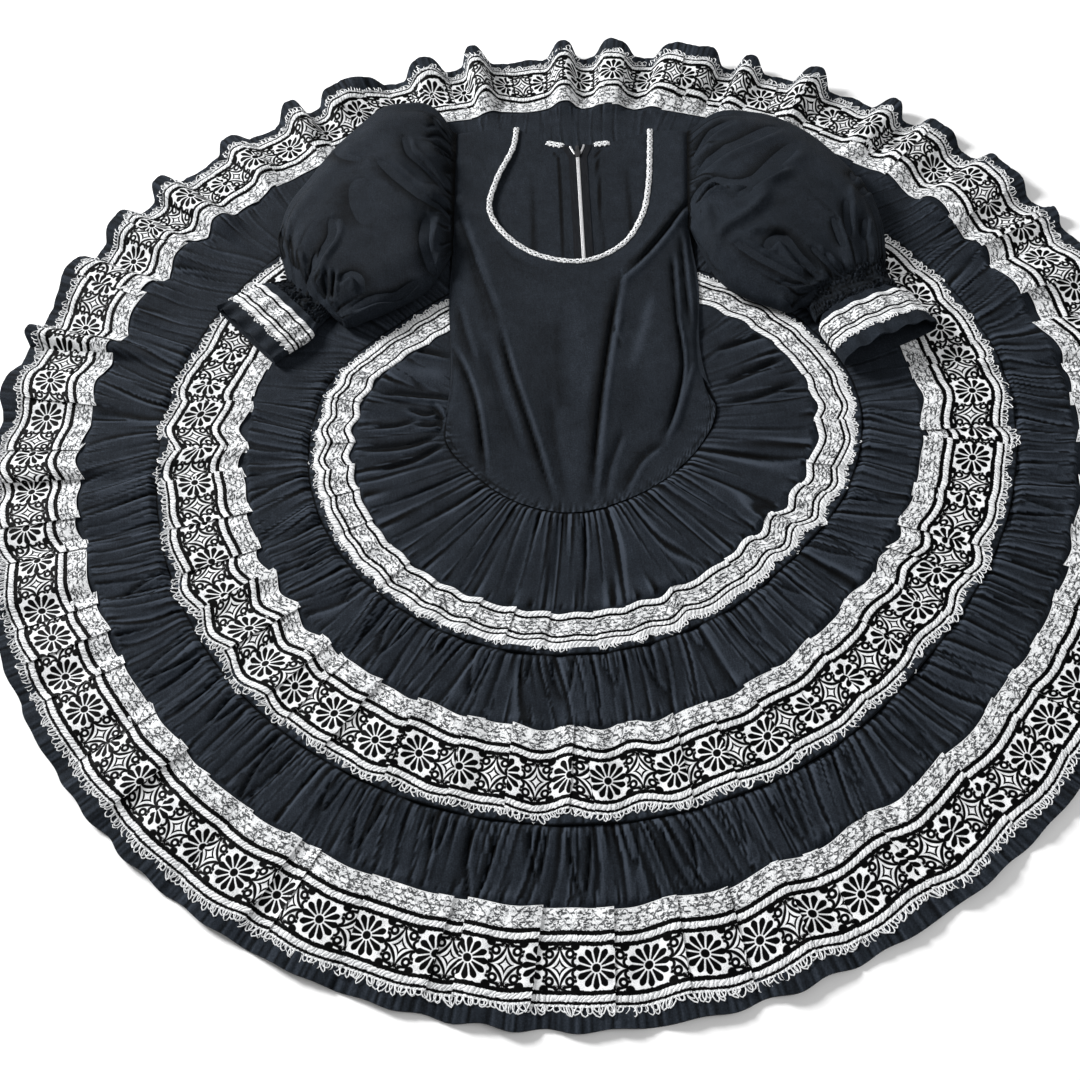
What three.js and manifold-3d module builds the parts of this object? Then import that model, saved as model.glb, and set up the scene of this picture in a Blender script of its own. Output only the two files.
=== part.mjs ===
// Folk dance dress laid out face up on a floor: a scoop-necked bodice with puffed sleeves lies over
// the back of a three-tier gathered skirt that is spread round it in a ring. Each tier, the cuffs
// and the neck carry woven braid. Millimetres, +Z up, +Y from the waist to the neck, +X to the
// wearer's left.
import * as THREE from 'three';
import { mergeVertices } from 'three/addons/utils/BufferGeometryUtils.js';
import Module from 'manifold-3d';

const wasm = await Module();
wasm.setup();

// Driving dimensions
const CLOTH = 1.4; // cotton wall, with the seam allowances behind it
const BRAID = 1.0; // woven braid
const SEAM_GAP = 0.4; // between pieces sewn edge to edge
const LAY_GAP = 0.3; // between a piece and what lies on it
const GATHER_BULK = 1.2; // how far gathers thicken the wall before its underside leaves the floor
const FLAT_WAVE = 1.2; // highest gather where the bodice or a sleeve lies on the skirt
const SEAM_WAVE = 0.6; // height of the gathers at the waist seam
const COVER_FULL = 32; // distance from a covering piece within which the skirt is pressed flat
const COVER_END = 80; // distance past which the skirt is free
const BODICE_BASE = 4.4; // underside of the back bodice, clear of the flattened skirt and braid
const SLEEVE_BASE = 4.5; // underside of the sleeves
const FRONT_CROWN = 2.9; // how far the front bodice stands off the back one between its sides
const ARMHOLE_LIFT = 5.8; // and how far more at the middle of an armhole
const ARMHOLE_REACH = 55; // distance from an armhole at which that lift has gone
const FRONT_RISE = 90; // length over which the front bodice climbs from the skirt onto the back one
const FRONT_RISE_END = 10; // distance before the back waist seam at which it is all the way up
const BACK_RISE_START = 8; // distances above the back waist seam between which the back bodice
const BACK_RISE_END = 80; // climbs onto the skirt's braid
const TUBE_WALL_EDGE = 1.3; // wall at the folded edges of a sleeve, seen from above
const RAY_START = 200; // outside every piece
const CUT_BEYOND = 60; // how far the cutting prism of the neck goes past the cloth
const CUT_BELOW = 10; // and how far under the floor it starts

// The skirt as it is spread, seen from above: a row for each direction from the ring's centre,
// 0 along +X and 90 along +Y, with the radius of each seam and the height of the hem's waves
const SKIRT = [
  { direction: 0, waist: 166, seam1: 328, seam2: 498, hem: 672, lift: 9 },
  { direction: 22.5, waist: 156, seam1: 309, seam2: 488, hem: 668, lift: 13 },
  { direction: 45, waist: 118, seam1: 286, seam2: 470, hem: 664, lift: 17 },
  { direction: 67.5, waist: 90, seam1: 268, seam2: 456, hem: 657, lift: 20 },
  { direction: 90, waist: 80, seam1: 260, seam2: 452, hem: 661, lift: 22 },
  { direction: 112.5, waist: 86, seam1: 258, seam2: 459, hem: 672, lift: 20 },
  { direction: 135, waist: 108, seam1: 266, seam2: 472, hem: 684, lift: 19 },
  { direction: 157.5, waist: 138, seam1: 294, seam2: 480, hem: 687, lift: 15 },
  { direction: 180, waist: 145, seam1: 303, seam2: 477, hem: 675, lift: 10 },
  { direction: 202.5, waist: 129, seam1: 304, seam2: 477, hem: 667, lift: 7 },
  { direction: 225, waist: 123, seam1: 302, seam2: 480, hem: 669, lift: 5 },
  { direction: 247.5, waist: 122, seam1: 302, seam2: 484, hem: 675, lift: 4 },
  { direction: 270, waist: 123, seam1: 301, seam2: 486, hem: 677, lift: 4 },
  { direction: 292.5, waist: 123, seam1: 300, seam2: 483, hem: 668, lift: 4 },
  { direction: 315, waist: 131, seam1: 302, seam2: 476, hem: 661, lift: 5 },
  { direction: 337.5, waist: 147, seam1: 320, seam2: 488, hem: 665, lift: 7 },
];

// The tiers: how many gathers, how far the braid's outer edge lies inside the tier's, and its width
const TIERS = [
  { name: 'tier1', inner: 'waist', outer: 'seam1', waves: 32, gather: 3.2, braidInset: 9, braidWidth: 42 },
  { name: 'tier2', inner: 'seam1', outer: 'seam2', waves: 40, gather: 4.0, braidInset: 11, braidWidth: 90 },
  { name: 'tier3', inner: 'seam2', outer: 'hem', waves: 44, gather: 3.0, braidInset: 21, braidWidth: 90 },
];

// Where the samples of one gather lie along it and how high they are: a broad crest, a narrow valley
const WAVE = [
  { along: 0, height: 0 },
  { along: 0.22, height: 0.8 },
  { along: 0.5, height: 1 },
  { along: 0.78, height: 0.75 },
];

// Share of the full gather height at each row of a tier, from its top seam to its lower edge
const ROW_SHARE = { seam: 0.45, middle: 0.75, braidInner: 0.85, braidOuter: 0.9, edge: 1 };

// Outline of the bodice from above. Each side runs from the waist seam up to the shoulder point.
const SIDE_LEFT = [
  { x: -142, y: 26 }, { x: -131, y: 90 }, { x: -128, y: 205 }, { x: -118, y: 290 },
  { x: -113.3, y: 345 }, { x: -107.8, y: 410 }, { x: -99, y: 514 },
];
const SIDE_RIGHT = [
  { x: 159, y: 26 }, { x: 161, y: 90 }, { x: 177, y: 185 }, { x: 181, y: 285 },
  { x: 190, y: 345 }, { x: 198.3, y: 400 }, { x: 208, y: 464 },
];
// The front scoop, from the left shoulder round to the right one
const FRONT_NECK = [
  { x: -12, y: 512 }, { x: -21, y: 470 }, { x: -48, y: 410 }, { x: -61, y: 358 }, { x: -46, y: 312 },
  { x: -8, y: 269 }, { x: 45, y: 251 }, { x: 92, y: 270 }, { x: 122, y: 316 }, { x: 138, y: 372 },
  { x: 147, y: 425 }, { x: 155, y: 478 },
];
// The back neck's two halves, from the shoulder down to the top of the zip
const BACK_NECK_LEFT = [{ x: -13, y: 509 }, { x: 10, y: 485 }, { x: 34, y: 471 }, { x: 48, y: 467 }];
const BACK_NECK_RIGHT = [{ x: 80, y: 463 }, { x: 103, y: 463 }, { x: 132, y: 468 }, { x: 156, y: 474 }];

// The zip lies on the slanted centre back line and is open at the top
const ZIP = {
  top: { x: 63, y: 466 }, slider: { x: 58, y: 440 }, bottom: { x: 33, y: 100 },
  openWidth: 8, chainWidth: 4.6, chainThickness: 1.6, tapeStart: 2.6, tapeEnd: 12, tapeThickness: 0.8,
};
// The slider's plates on both sides of the cloth, the post between them and the pull: places along
// the zip from the slider's foot, widths, and heights above the floor
const SLIDER_PARTS = [
  { from: 0.4, to: 11, width: 7, low: 7.2, high: 8.4 },
  { from: 6, to: 9.5, width: 2, low: 3.6, high: 7.8 },
  { from: 1, to: 11, width: 7, low: 3.1, high: 4.1 },
  { from: 10, to: 27, width: 5, low: 3.1, high: 4.1 },
];

// Where along the shoulder line the left strap ends and the right one starts
const STRAP_SHARES = [0, 0.29, 0.83, 1];

// The back waist seam from above: a flat arch whose ends drop towards the sides
const BACK_SEAM = { middle: 10, halfWidth: 155, top: 80, drop: 56 };

// Rows of the bodice panels from the waist seam to the shoulders, and their columns across
const FRONT_ROWS = [0, 0.04, 0.09, 0.15, 0.22, 0.3, 0.39, 0.49, 0.59, 0.68, 0.76, 0.84, 0.92, 1];
const FRONT_COLUMNS = 20;
const BACK_ROWS = [0, 0.1, 0.22, 0.38, 0.56, 0.76, 0.93, 1];
const BACK_COLUMNS = 9;
const BACK_SIDE_START = 0.085; // where along the side seam the back panels start
const BACK_SHOULDER_SHARE = 0.42; // share of a back panel's top edge that is shoulder
const BACK_SEAM_TUCK = 3; // how far the back panels' lower edge lies outside the skirt's ring
const CORNER_POWER = 12; // how sharply a panel's edge turns into its end points

// Large soft creases of the bodice front: a ridge from one point to the other
const CREASES = [
  { from: { x: -104, y: 345 }, to: { x: -64, y: 120 }, width: 26, height: 4.5 },
  { from: { x: -64, y: 130 }, to: { x: -34, y: -84 }, width: 22, height: 4.0 },
  { from: { x: 176, y: 322 }, to: { x: 78, y: 196 }, width: 28, height: 4.5 },
  { from: { x: 82, y: 205 }, to: { x: 20, y: -88 }, width: 24, height: 4.0 },
  { from: { x: 140, y: 170 }, to: { x: 96, y: -40 }, width: 22, height: 3.5 },
  { from: { x: -112, y: 160 }, to: { x: -96, y: -20 }, width: 20, height: 3.5 },
];

// The sleeves, a row for each section from the armhole to the end of the shirring: the two edges of
// the flattened tube from above, how high it stands, and the depth of its gathers
const SLEEVE_LEFT = [
  { high: { x: -99.8, y: 513 }, low: { x: -118.8, y: 290 }, height: 9, gather: 0.4 },
  { high: { x: -120, y: 556 }, low: { x: -131, y: 262 }, height: 27, gather: 2.6 },
  { high: { x: -172, y: 572 }, low: { x: -150, y: 228 }, height: 42, gather: 1.4 },
  { high: { x: -236, y: 522 }, low: { x: -188, y: 202 }, height: 48, gather: 0.8 },
  { high: { x: -292, y: 445 }, low: { x: -226, y: 187 }, height: 46, gather: 1.0 },
  { high: { x: -330, y: 372 }, low: { x: -250, y: 182 }, height: 38, gather: 2.2 },
  { high: { x: -336, y: 322 }, low: { x: -259, y: 190 }, height: 25, gather: 3.0 },
  { high: { x: -329, y: 293 }, low: { x: -266, y: 205 }, height: 15, gather: 1.2 },
  { high: { x: -347, y: 273 }, low: { x: -289, y: 192 }, height: 14, gather: 1.0 },
];
const SLEEVE_RIGHT = [
  { high: { x: 208.6, y: 463 }, low: { x: 181.8, y: 285 }, height: 9, gather: 0.4 },
  { high: { x: 240, y: 480 }, low: { x: 186, y: 252 }, height: 27, gather: 2.6 },
  { high: { x: 296, y: 468 }, low: { x: 193, y: 208 }, height: 42, gather: 1.4 },
  { high: { x: 350, y: 422 }, low: { x: 208, y: 170 }, height: 48, gather: 0.8 },
  { high: { x: 388, y: 356 }, low: { x: 232, y: 146 }, height: 46, gather: 1.0 },
  { high: { x: 412, y: 286 }, low: { x: 257, y: 130 }, height: 40, gather: 2.2 },
  { high: { x: 412, y: 222 }, low: { x: 276, y: 122 }, height: 33, gather: 3.0 },
  { high: { x: 402, y: 168 }, low: { x: 292, y: 131 }, height: 27, gather: 1.2 },
  { high: { x: 408, y: 138 }, low: { x: 302, y: 102 }, height: 27, gather: 1.0 },
];
const SLEEVE_COLUMNS = 24;
// Section of a flattened tube: height of its folded edges as a share of the whole, and how full it is
// above and below them
const TUBE_EDGE_SHARE = 0.3;
const TUBE_FULL_ABOVE = 0.8;
const TUBE_FULL_BELOW = 0.4;

// The cuffs: sections along the arm from the shirring, their half widths and heights
const CUFF_LEFT = { start: { x: -318, y: 232.5 }, along: { x: -0.813, y: -0.582 }, height: 14, flare: 5 };
const CUFF_RIGHT = { start: { x: 355, y: 120 }, along: { x: 0.322, y: -0.947 }, height: 27, flare: 6 };
const CUFF_SECTIONS = [
  { distance: 0.4, halfWidth: 50, gather: 1.0 },
  { distance: 11, halfWidth: 57, gather: 1.6 },
  { distance: 51, halfWidth: 60, gather: 1.6 },
  { distance: 73, halfWidth: 62, gather: 2.6 },
];

const BLACK_COTTON = { color: 0x16181c, roughness: 0.9, metalness: 0 };
const SILVER_BRAID = { color: 0xd6d8da, roughness: 0.6, metalness: 0.1 };
const ZIP_METAL = { color: 0xc9c9cc, roughness: 0.35, metalness: 0.9 };
const ZIP_TAPE = { color: 0x101114, roughness: 0.95, metalness: 0 };
const ZIP_ENAMEL = { color: 0x17181b, roughness: 0.4, metalness: 0.3 };

const mix = THREE.MathUtils.lerp;
const smooth = THREE.MathUtils.smoothstep;

// The value of a table's column in a direction: a smooth closed curve through its rows
function skirtValue(column, direction) {
  const place = THREE.MathUtils.euclideanModulo(direction, 360) / (360 / SKIRT.length);
  const row = Math.floor(place);
  const t = place - row;
  const [a, b, c, d] = [-1, 0, 1, 2].map((step) => SKIRT[(row + step + SKIRT.length) % SKIRT.length][column]);
  return b + 0.5 * t * (c - a + t * (2 * a - 5 * b + 4 * c - d + t * (3 * (b - c) + d - a)));
}

// A smooth open curve through points of a table
function curveThrough(points) {
  return new THREE.CatmullRomCurve3(points.map((p) => new THREE.Vector3(p.x, p.y, 0)), false, 'centripetal');
}

function polarPoint(direction, radius) {
  const angle = THREE.MathUtils.degToRad(direction);
  return new THREE.Vector3(radius * Math.cos(angle), radius * Math.sin(angle), 0);
}

// Distance from a point to the segment between two others, seen from above, and how far along it
function segmentPlace(point, from, to) {
  const dx = to.x - from.x;
  const dy = to.y - from.y;
  const along = ((point.x - from.x) * dx + (point.y - from.y) * dy) / (dx * dx + dy * dy);
  const t = THREE.MathUtils.clamp(along, 0, 1);
  return { distance: Math.hypot(point.x - from.x - t * dx, point.y - from.y - t * dy), along };
}

// The front waist seam follows the skirt's inner ring from one side to the other
function frontSeamPoint(share) {
  const direction = 180 + 180 * share;
  return polarPoint(direction, skirtValue('waist', direction) - SEAM_GAP / 2);
}

// What lies on the skirt, as lines across each covering piece
const sideLeft = curveThrough([frontSeamPoint(0), ...SIDE_LEFT]);
const sideRight = curveThrough([frontSeamPoint(1), ...SIDE_RIGHT]);
const BODICE_LINES = 10;
const coveringLines = [];
for (let i = 0; i <= BODICE_LINES; i += 1) {
  const share = i / BODICE_LINES;
  coveringLines.push({ from: sideLeft.getPointAt(share), to: sideRight.getPointAt(share) });
}
for (const section of [...SLEEVE_LEFT, ...SLEEVE_RIGHT]) {
  coveringLines.push({ from: section.high, to: section.low });
}
for (const cuff of [CUFF_LEFT, CUFF_RIGHT]) {
  for (const section of CUFF_SECTIONS) {
    const edges = cuffEdges(cuff, section);
    coveringLines.push({ from: edges.high, to: edges.low });
  }
}

// 1 where the skirt is pressed flat by what lies on it, 0 where it is free
function coverShare(point) {
  let nearest = Infinity;
  for (const line of coveringLines) {
    nearest = Math.min(nearest, segmentPlace(point, line.from, line.to).distance);
  }
  return 1 - smooth(nearest, COVER_FULL, COVER_END);
}

// Real gathers are uneven: a slow beat makes some higher than others
function unevenness(wave) {
  return 0.8 + 0.14 * Math.sin(2.4 * wave) + 0.06 * Math.sin(5.3 * wave + 1);
}

// A closed body from a grid of upper points and one of lower points. Each is a list of columns; the
// lower one may have fewer rows, with its first and last under the upper one's.
function sheetSolid(upper, lower, closed) {
  const positions = [];
  const indices = [];
  const addGrid = (grid) => grid.map((column) => column.map((p) => positions.push(p.x, p.y, p.z) / 3 - 1));
  const top = addGrid(upper);
  const bottom = addGrid(lower);
  const quad = (a, b, c, d) => indices.push(a, b, c, a, c, d);
  const steps = closed ? top.length : top.length - 1;
  for (let i = 0; i < steps; i += 1) {
    const next = (i + 1) % top.length;
    for (let j = 0; j + 1 < top[i].length; j += 1) {
      quad(top[i][j], top[next][j], top[next][j + 1], top[i][j + 1]);
    }
    for (let j = 0; j + 1 < bottom[i].length; j += 1) {
      quad(bottom[i][j], bottom[i][j + 1], bottom[next][j + 1], bottom[next][j]);
    }
    quad(bottom[i][0], bottom[next][0], top[next][0], top[i][0]);
    quad(top[i].at(-1), top[next].at(-1), bottom[next].at(-1), bottom[i].at(-1));
  }
  if (!closed) {
    capEnd(indices, top[0], bottom[0], false);
    capEnd(indices, top.at(-1), bottom.at(-1), true);
  }
  const geometry = new THREE.BufferGeometry();
  geometry.setAttribute('position', new THREE.Float32BufferAttribute(positions, 3));
  geometry.setIndex(signedVolume(positions, indices) < 0 ? indices.reverse() : indices);
  return geometry;
}

// Closes one end of a sheet between its upper and lower rows, which may differ in number
function capEnd(indices, top, bottom, turned) {
  let a = 0;
  let b = 0;
  while (a + 1 < top.length || b + 1 < bottom.length) {
    const upperNext = a + 1 < top.length && (a + 1) / (top.length - 1) <= (b + 1) / (bottom.length - 1);
    const triangle = upperNext ? [top[a], top[a + 1], bottom[b]] : [bottom[b + 1], bottom[b], top[a]];
    indices.push(...(turned ? triangle.reverse() : triangle));
    if (upperNext) a += 1;
    else b += 1;
  }
}

function signedVolume(positions, indices) {
  const corner = (i) => new THREE.Vector3().fromArray(positions, 3 * i);
  let total = 0;
  for (let i = 0; i < indices.length; i += 3) {
    const [a, b, c] = [corner(indices[i]), corner(indices[i + 1]), corner(indices[i + 2])];
    total += a.dot(b.cross(c));
  }
  return total;
}

function toManifold(geometry) {
  const bare = geometry.clone();
  bare.deleteAttribute('normal');
  bare.deleteAttribute('uv');
  const merged = mergeVertices(bare);
  return new wasm.Manifold(new wasm.Mesh({
    numProp: 3,
    vertProperties: new Float32Array(merged.attributes.position.array),
    triVerts: new Uint32Array(merged.index.array),
  }));
}

function toGeometry(solid) {
  const mesh = solid.getMesh();
  const geometry = new THREE.BufferGeometry();
  geometry.setAttribute('position', new THREE.Float32BufferAttribute(mesh.vertProperties, 3));
  geometry.setIndex([...mesh.triVerts]);
  return geometry;
}

// The points of a half tier: columns round the ring, rows from the top seam to the lower edge
function halfTier(tier, firstDirection, sideShift) {
  const isHem = tier.outer === 'hem';
  const columns = [];
  const perWave = WAVE.length;
  const count = (tier.waves / 2) * perWave;
  for (let i = 0; i <= count; i += 1) {
    const wave = Math.floor(i / perWave);
    const sample = WAVE[i % perWave];
    const direction = firstDirection + (180 * (wave + sample.along)) / (tier.waves / 2);
    const inner = skirtValue(tier.inner, direction) + SEAM_GAP / 2;
    const outer = skirtValue(tier.outer, direction) - (isHem ? 0 : SEAM_GAP / 2);
    const braidOuter = outer - tier.braidInset;
    const braidInner = braidOuter - tier.braidWidth;
    const rows = [
      { radius: inner, share: tier.inner === 'waist' ? SEAM_WAVE / tier.gather : ROW_SHARE.seam, lifts: 0 },
      { radius: mix(inner, braidInner, 0.45), share: ROW_SHARE.middle, lifts: 0.25 },
      { radius: braidInner, share: ROW_SHARE.braidInner, lifts: 0.7 },
      { radius: braidOuter, share: ROW_SHARE.braidOuter, lifts: 0.95 },
      { radius: outer, share: ROW_SHARE.edge, lifts: 1 },
    ];
    const lift = isHem ? skirtValue('lift', direction) : tier.gather;
    const uneven = unevenness(wave + firstDirection);
    columns.push(rows.map((row) => {
      const point = polarPoint(direction, row.radius);
      const free = (isHem ? Math.max(tier.gather * row.share, lift * row.lifts) : lift * row.share) * uneven;
      const height = mix(free, Math.min(free, FLAT_WAVE), coverShare(point)) * sample.height;
      point.z = CLOTH + height;
      if (i === 0 || i === count) point.y += sideShift;
      return point;
    }));
  }
  return columns;
}

// The underside stays on the floor until the gather lifts it, and has fewer rows
function undersideOf(columns) {
  return columns.map((column) => [column[0], column[2], column[4]].map((p) => (
    new THREE.Vector3(p.x, p.y, Math.max(0, p.z - CLOTH - GATHER_BULK)))));
}

function raised(point, height) {
  return new THREE.Vector3(point.x, point.y, point.z + height);
}

// Braid round a tier: the two rows of the tier under it, moved up off the cloth
function braidRing(columns) {
  const band = columns.map((column) => [column[2], column[3]]);
  const upper = band.map((column) => column.map((p) => raised(p, LAY_GAP + BRAID)));
  const lower = band.map((column) => column.map((p) => raised(p, LAY_GAP)));
  return sheetSolid(upper, lower, true);
}

// A surface between four edge curves: the sum of the two ways across, less the corners' own
function coonsPoint(bottomAt, topAt, leftAt, rightAt, u, v) {
  const corners = [[bottomAt(0), (1 - u) * (1 - v)], [bottomAt(1), u * (1 - v)],
    [topAt(0), (1 - u) * v], [topAt(1), u * v]];
  const point = new THREE.Vector3()
    .addScaledVector(bottomAt(u), 1 - v).addScaledVector(topAt(u), v)
    .addScaledVector(leftAt(v), 1 - u).addScaledVector(rightAt(v), u);
  for (const [corner, share] of corners) point.addScaledVector(corner, -share);
  return point;
}

// How far the centre back line is to the right of the origin at a height up the bodice
function centreBack(y) {
  return mix(ZIP.bottom.x, ZIP.slider.x, (y - ZIP.bottom.y) / (ZIP.slider.y - ZIP.bottom.y));
}

// How far each edge of the centre back stands off that line above the slider
function zipOpening(y) {
  return ZIP.openWidth * smooth(y, ZIP.slider.y - 4, ZIP.top.y);
}

// The back waist seam's place, as the ring of the skirt gives it
function backSeamY(x) {
  const across = THREE.MathUtils.clamp((x - BACK_SEAM.middle) / BACK_SEAM.halfWidth, -1, 1);
  return BACK_SEAM.top - BACK_SEAM.drop * across * across;
}

// The back bodice rises from the waist seam onto the skirt's braid
function backUnderside(point) {
  const onSeam = CLOTH + SEAM_WAVE + LAY_GAP;
  const above = point.y - backSeamY(point.x);
  return mix(onSeam, BODICE_BASE, smooth(above, BACK_RISE_START, BACK_RISE_END));
}

// Height of the creases at a point
function creaseHeight(point) {
  let height = 0;
  for (const crease of CREASES) {
    const place = segmentPlace(point, crease.from, crease.to);
    const ends = smooth(place.along, -0.15, 0.2) * (1 - smooth(place.along, 0.8, 1.15));
    const across = place.distance / crease.width;
    height = Math.max(height, crease.height * ends * Math.exp(-across * across));
  }
  return height;
}

// How far the sleeves sewn into the armholes hold the front bodice up
function armholeLift(point) {
  let height = 0;
  for (const { low, high } of [SLEEVE_LEFT[0], SLEEVE_RIGHT[0]]) {
    const { distance, along } = segmentPlace(point, low, high);
    const arch = Math.pow(2 * Math.sqrt(Math.max(0, along * (1 - along))), 0.8);
    height = Math.max(height, ARMHOLE_LIFT * arch * (1 - smooth(distance, 0, ARMHOLE_REACH)));
  }
  return height;
}

// Underside of the front bodice: on the floor at the waist seam, then over the back one
function frontUnderside(point, across, v) {
  const crown = FRONT_CROWN * Math.pow(4 * across * (1 - across), 0.6) * (1 - smooth(v, 0.86, 1));
  const onBack = backUnderside(point) + CLOTH + 2 * LAY_GAP;
  const seam = backSeamY(point.x);
  const overBack = smooth(point.y, seam - FRONT_RISE, seam - FRONT_RISE_END);
  return onBack * overBack + (crown + creaseHeight(point)) * smooth(v, 0, 0.2) + armholeLift(point);
}

// The shoulders: straight from each side to the neck, and across the neck's opening between them
function shoulderLine(share) {
  const line = [sideLeft.getPointAt(1), FRONT_NECK[0], FRONT_NECK.at(-1), sideRight.getPointAt(1)];
  const part = Math.max(0, STRAP_SHARES.findIndex((end) => share <= end) - 1);
  const t = (share - STRAP_SHARES[part]) / (STRAP_SHARES[part + 1] - STRAP_SHARES[part]);
  const [from, to] = [line[part], line[part + 1]];
  return new THREE.Vector3(mix(from.x, to.x, t), mix(from.y, to.y, t), 0);
}

function frontPoint(u, v) {
  const leftAt = (s) => sideLeft.getPointAt(s);
  const rightAt = (s) => sideRight.getPointAt(s);
  return coonsPoint(frontSeamPoint, shoulderLine, leftAt, rightAt, u, v);
}

// The front bodice before its neck is cut
function frontSheet() {
  const lower = [];
  for (let i = 0; i <= FRONT_COLUMNS; i += 1) {
    lower.push(FRONT_ROWS.map((v) => {
      const point = frontPoint(i / FRONT_COLUMNS, v);
      point.z = frontUnderside(point, i / FRONT_COLUMNS, v);
      return point;
    }));
  }
  const upper = lower.map((column) => column.map((p) => raised(p, CLOTH)));
  return sheetSolid(upper, lower, false);
}

// The scoop of the front neck as a prism that goes right through the cloth
function neckPrism(points) {
  const outline = curveThrough(points).getPoints(26).map((p) => new THREE.Vector2(p.x, p.y));
  outline.push(new THREE.Vector2(outline.at(-1).x, outline.at(-1).y + CUT_BEYOND));
  outline.push(new THREE.Vector2(outline[0].x, outline[0].y + CUT_BEYOND));
  const shape = new THREE.Shape(outline);
  const prism = new THREE.ExtrudeGeometry(shape, { depth: CUT_BEYOND, bevelEnabled: false });
  return prism.translate(0, 0, -CUT_BELOW);
}

// Height of a panel's upper side at a point seen from above
function topOf(panel, point) {
  const above = new THREE.Vector3(point.x, point.y, RAY_START);
  const ray = new THREE.Raycaster(above, new THREE.Vector3(0, 0, -1));
  return ray.intersectObject(panel)[0].point.z;
}

// A strip along a line of points, a gap above a panel or below it where side is -1. Offsets gives
// the places of its two edges across the line at a point, heightAt the panel's face.
function stripOnPanel(points, offsets, heightAt, side, thickness) {
  const near = [];
  const far = [];
  points.forEach((point, i) => {
    const before = points[Math.max(0, i - 1)];
    const after = points[Math.min(points.length - 1, i + 1)];
    const normal = new THREE.Vector3(after.y - before.y, before.x - after.x, 0).normalize();
    const edges = offsets(point).map((offset) => point.clone().addScaledVector(normal, offset));
    for (const edge of edges) edge.z = heightAt(edge) + side * LAY_GAP;
    near.push(edges);
    far.push(edges.map((edge) => raised(edge, side * thickness)));
  });
  return side > 0 ? sheetSolid(far, near, false) : sheetSolid(near, far, false);
}

// One half of the back bodice, between its side and the centre back
function backPanel(side, neck, directions, shoulder, edgeSign) {
  const neckCurve = curveThrough(neck);
  const edgeAt = (v) => {
    const y = mix(backSeamY(centreBack(BACK_SEAM.top)), ZIP.top.y, v);
    return new THREE.Vector3(centreBack(y) + edgeSign * (SEAM_GAP / 2 + zipOpening(y)), y, 0);
  };
  const seamAt = (s) => {
    const direction = mix(directions.side, directions.centre, s);
    return polarPoint(direction, skirtValue('waist', direction) + BACK_SEAM_TUCK);
  };
  const topAt = (s) => {
    const past = s - BACK_SHOULDER_SHARE;
    if (past < 0) return shoulder.clone().lerp(neckCurve.getPoint(0), s / BACK_SHOULDER_SHARE);
    return neckCurve.getPoint(past / (1 - BACK_SHOULDER_SHARE));
  };
  const outerAt = (v) => {
    const point = side.getPointAt(mix(BACK_SIDE_START, 1, v));
    const first = seamAt(0).sub(side.getPointAt(BACK_SIDE_START));
    return point.addScaledVector(first, (1 - v) ** CORNER_POWER);
  };
  const innerAt = (v) => {
    const first = seamAt(1).sub(edgeAt(0));
    const last = topAt(1).sub(edgeAt(1));
    const point = edgeAt(v).addScaledVector(first, (1 - v) ** CORNER_POWER);
    return point.addScaledVector(last, v ** CORNER_POWER);
  };
  const lower = [];
  for (let i = 0; i <= BACK_COLUMNS; i += 1) {
    lower.push(BACK_ROWS.map((v) => {
      const point = coonsPoint(seamAt, topAt, outerAt, innerAt, i / BACK_COLUMNS, v);
      point.z = backUnderside(point);
      return point;
    }));
  }
  const upper = lower.map((column) => column.map((p) => raised(p, CLOTH)));
  return sheetSolid(upper, lower, false);
}

// One ring of a flattened tube. Its lower half lies flat and its upper half is crowned, with gathers
// as alternate high and low columns. The inner ring is the outer one less the cloth.
function tubeRing(section, base, inward) {
  const middle = { x: (section.high.x + section.low.x) / 2, y: (section.high.y + section.low.y) / 2 };
  const half = Math.hypot(section.high.x - section.low.x, section.high.y - section.low.y) / 2;
  const share = 1 - (TUBE_WALL_EDGE * inward) / half;
  const edge = TUBE_EDGE_SHARE * section.height;
  const ring = [];
  for (let i = 0; i < SLEEVE_COLUMNS; i += 1) {
    const angle = (2 * Math.PI * (i + 0.5)) / SLEEVE_COLUMNS;
    const across = Math.cos(angle) * share;
    const upward = Math.sin(angle);
    const wave = (i % 2 ? 1 : -1) * section.gather * Math.max(0, upward);
    const rise = upward > 0
      ? edge + (section.height - edge - inward) * Math.pow(upward, TUBE_FULL_ABOVE)
      : Math.max(inward, edge - edge * Math.pow(-upward, TUBE_FULL_BELOW));
    ring.push(new THREE.Vector3(
      middle.x + (section.high.x - middle.x) * across,
      middle.y + (section.high.y - middle.y) * across,
      base + rise + wave,
    ));
  }
  return ring;
}

function tubeSolid(sections, base) {
  const byColumn = (rings) => rings[0].map((_, i) => rings.map((ring) => ring[i]));
  const outer = sections.map((section) => tubeRing(section, base, 0));
  const inner = sections.map((section) => tubeRing(section, base, CLOTH));
  return sheetSolid(byColumn(outer), byColumn(inner), true);
}

// The two edges of a cuff's section, across the arm
function cuffEdges(cuff, section) {
  const centre = {
    x: cuff.start.x + section.distance * cuff.along.x,
    y: cuff.start.y + section.distance * cuff.along.y,
  };
  const sign = cuff.along.x < 0 ? 1 : -1;
  const half = sign * section.halfWidth;
  const across = { x: cuff.along.y * half, y: -cuff.along.x * half };
  return {
    high: { x: centre.x + across.x, y: centre.y + across.y },
    low: { x: centre.x - across.x, y: centre.y - across.y },
  };
}

function cuffSections(cuff) {
  const length = CUFF_SECTIONS.at(-1).distance;
  return CUFF_SECTIONS.map((section) => ({
    ...cuffEdges(cuff, section),
    height: cuff.height + (cuff.flare * section.distance) / length,
    gather: section.gather,
  }));
}

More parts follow.
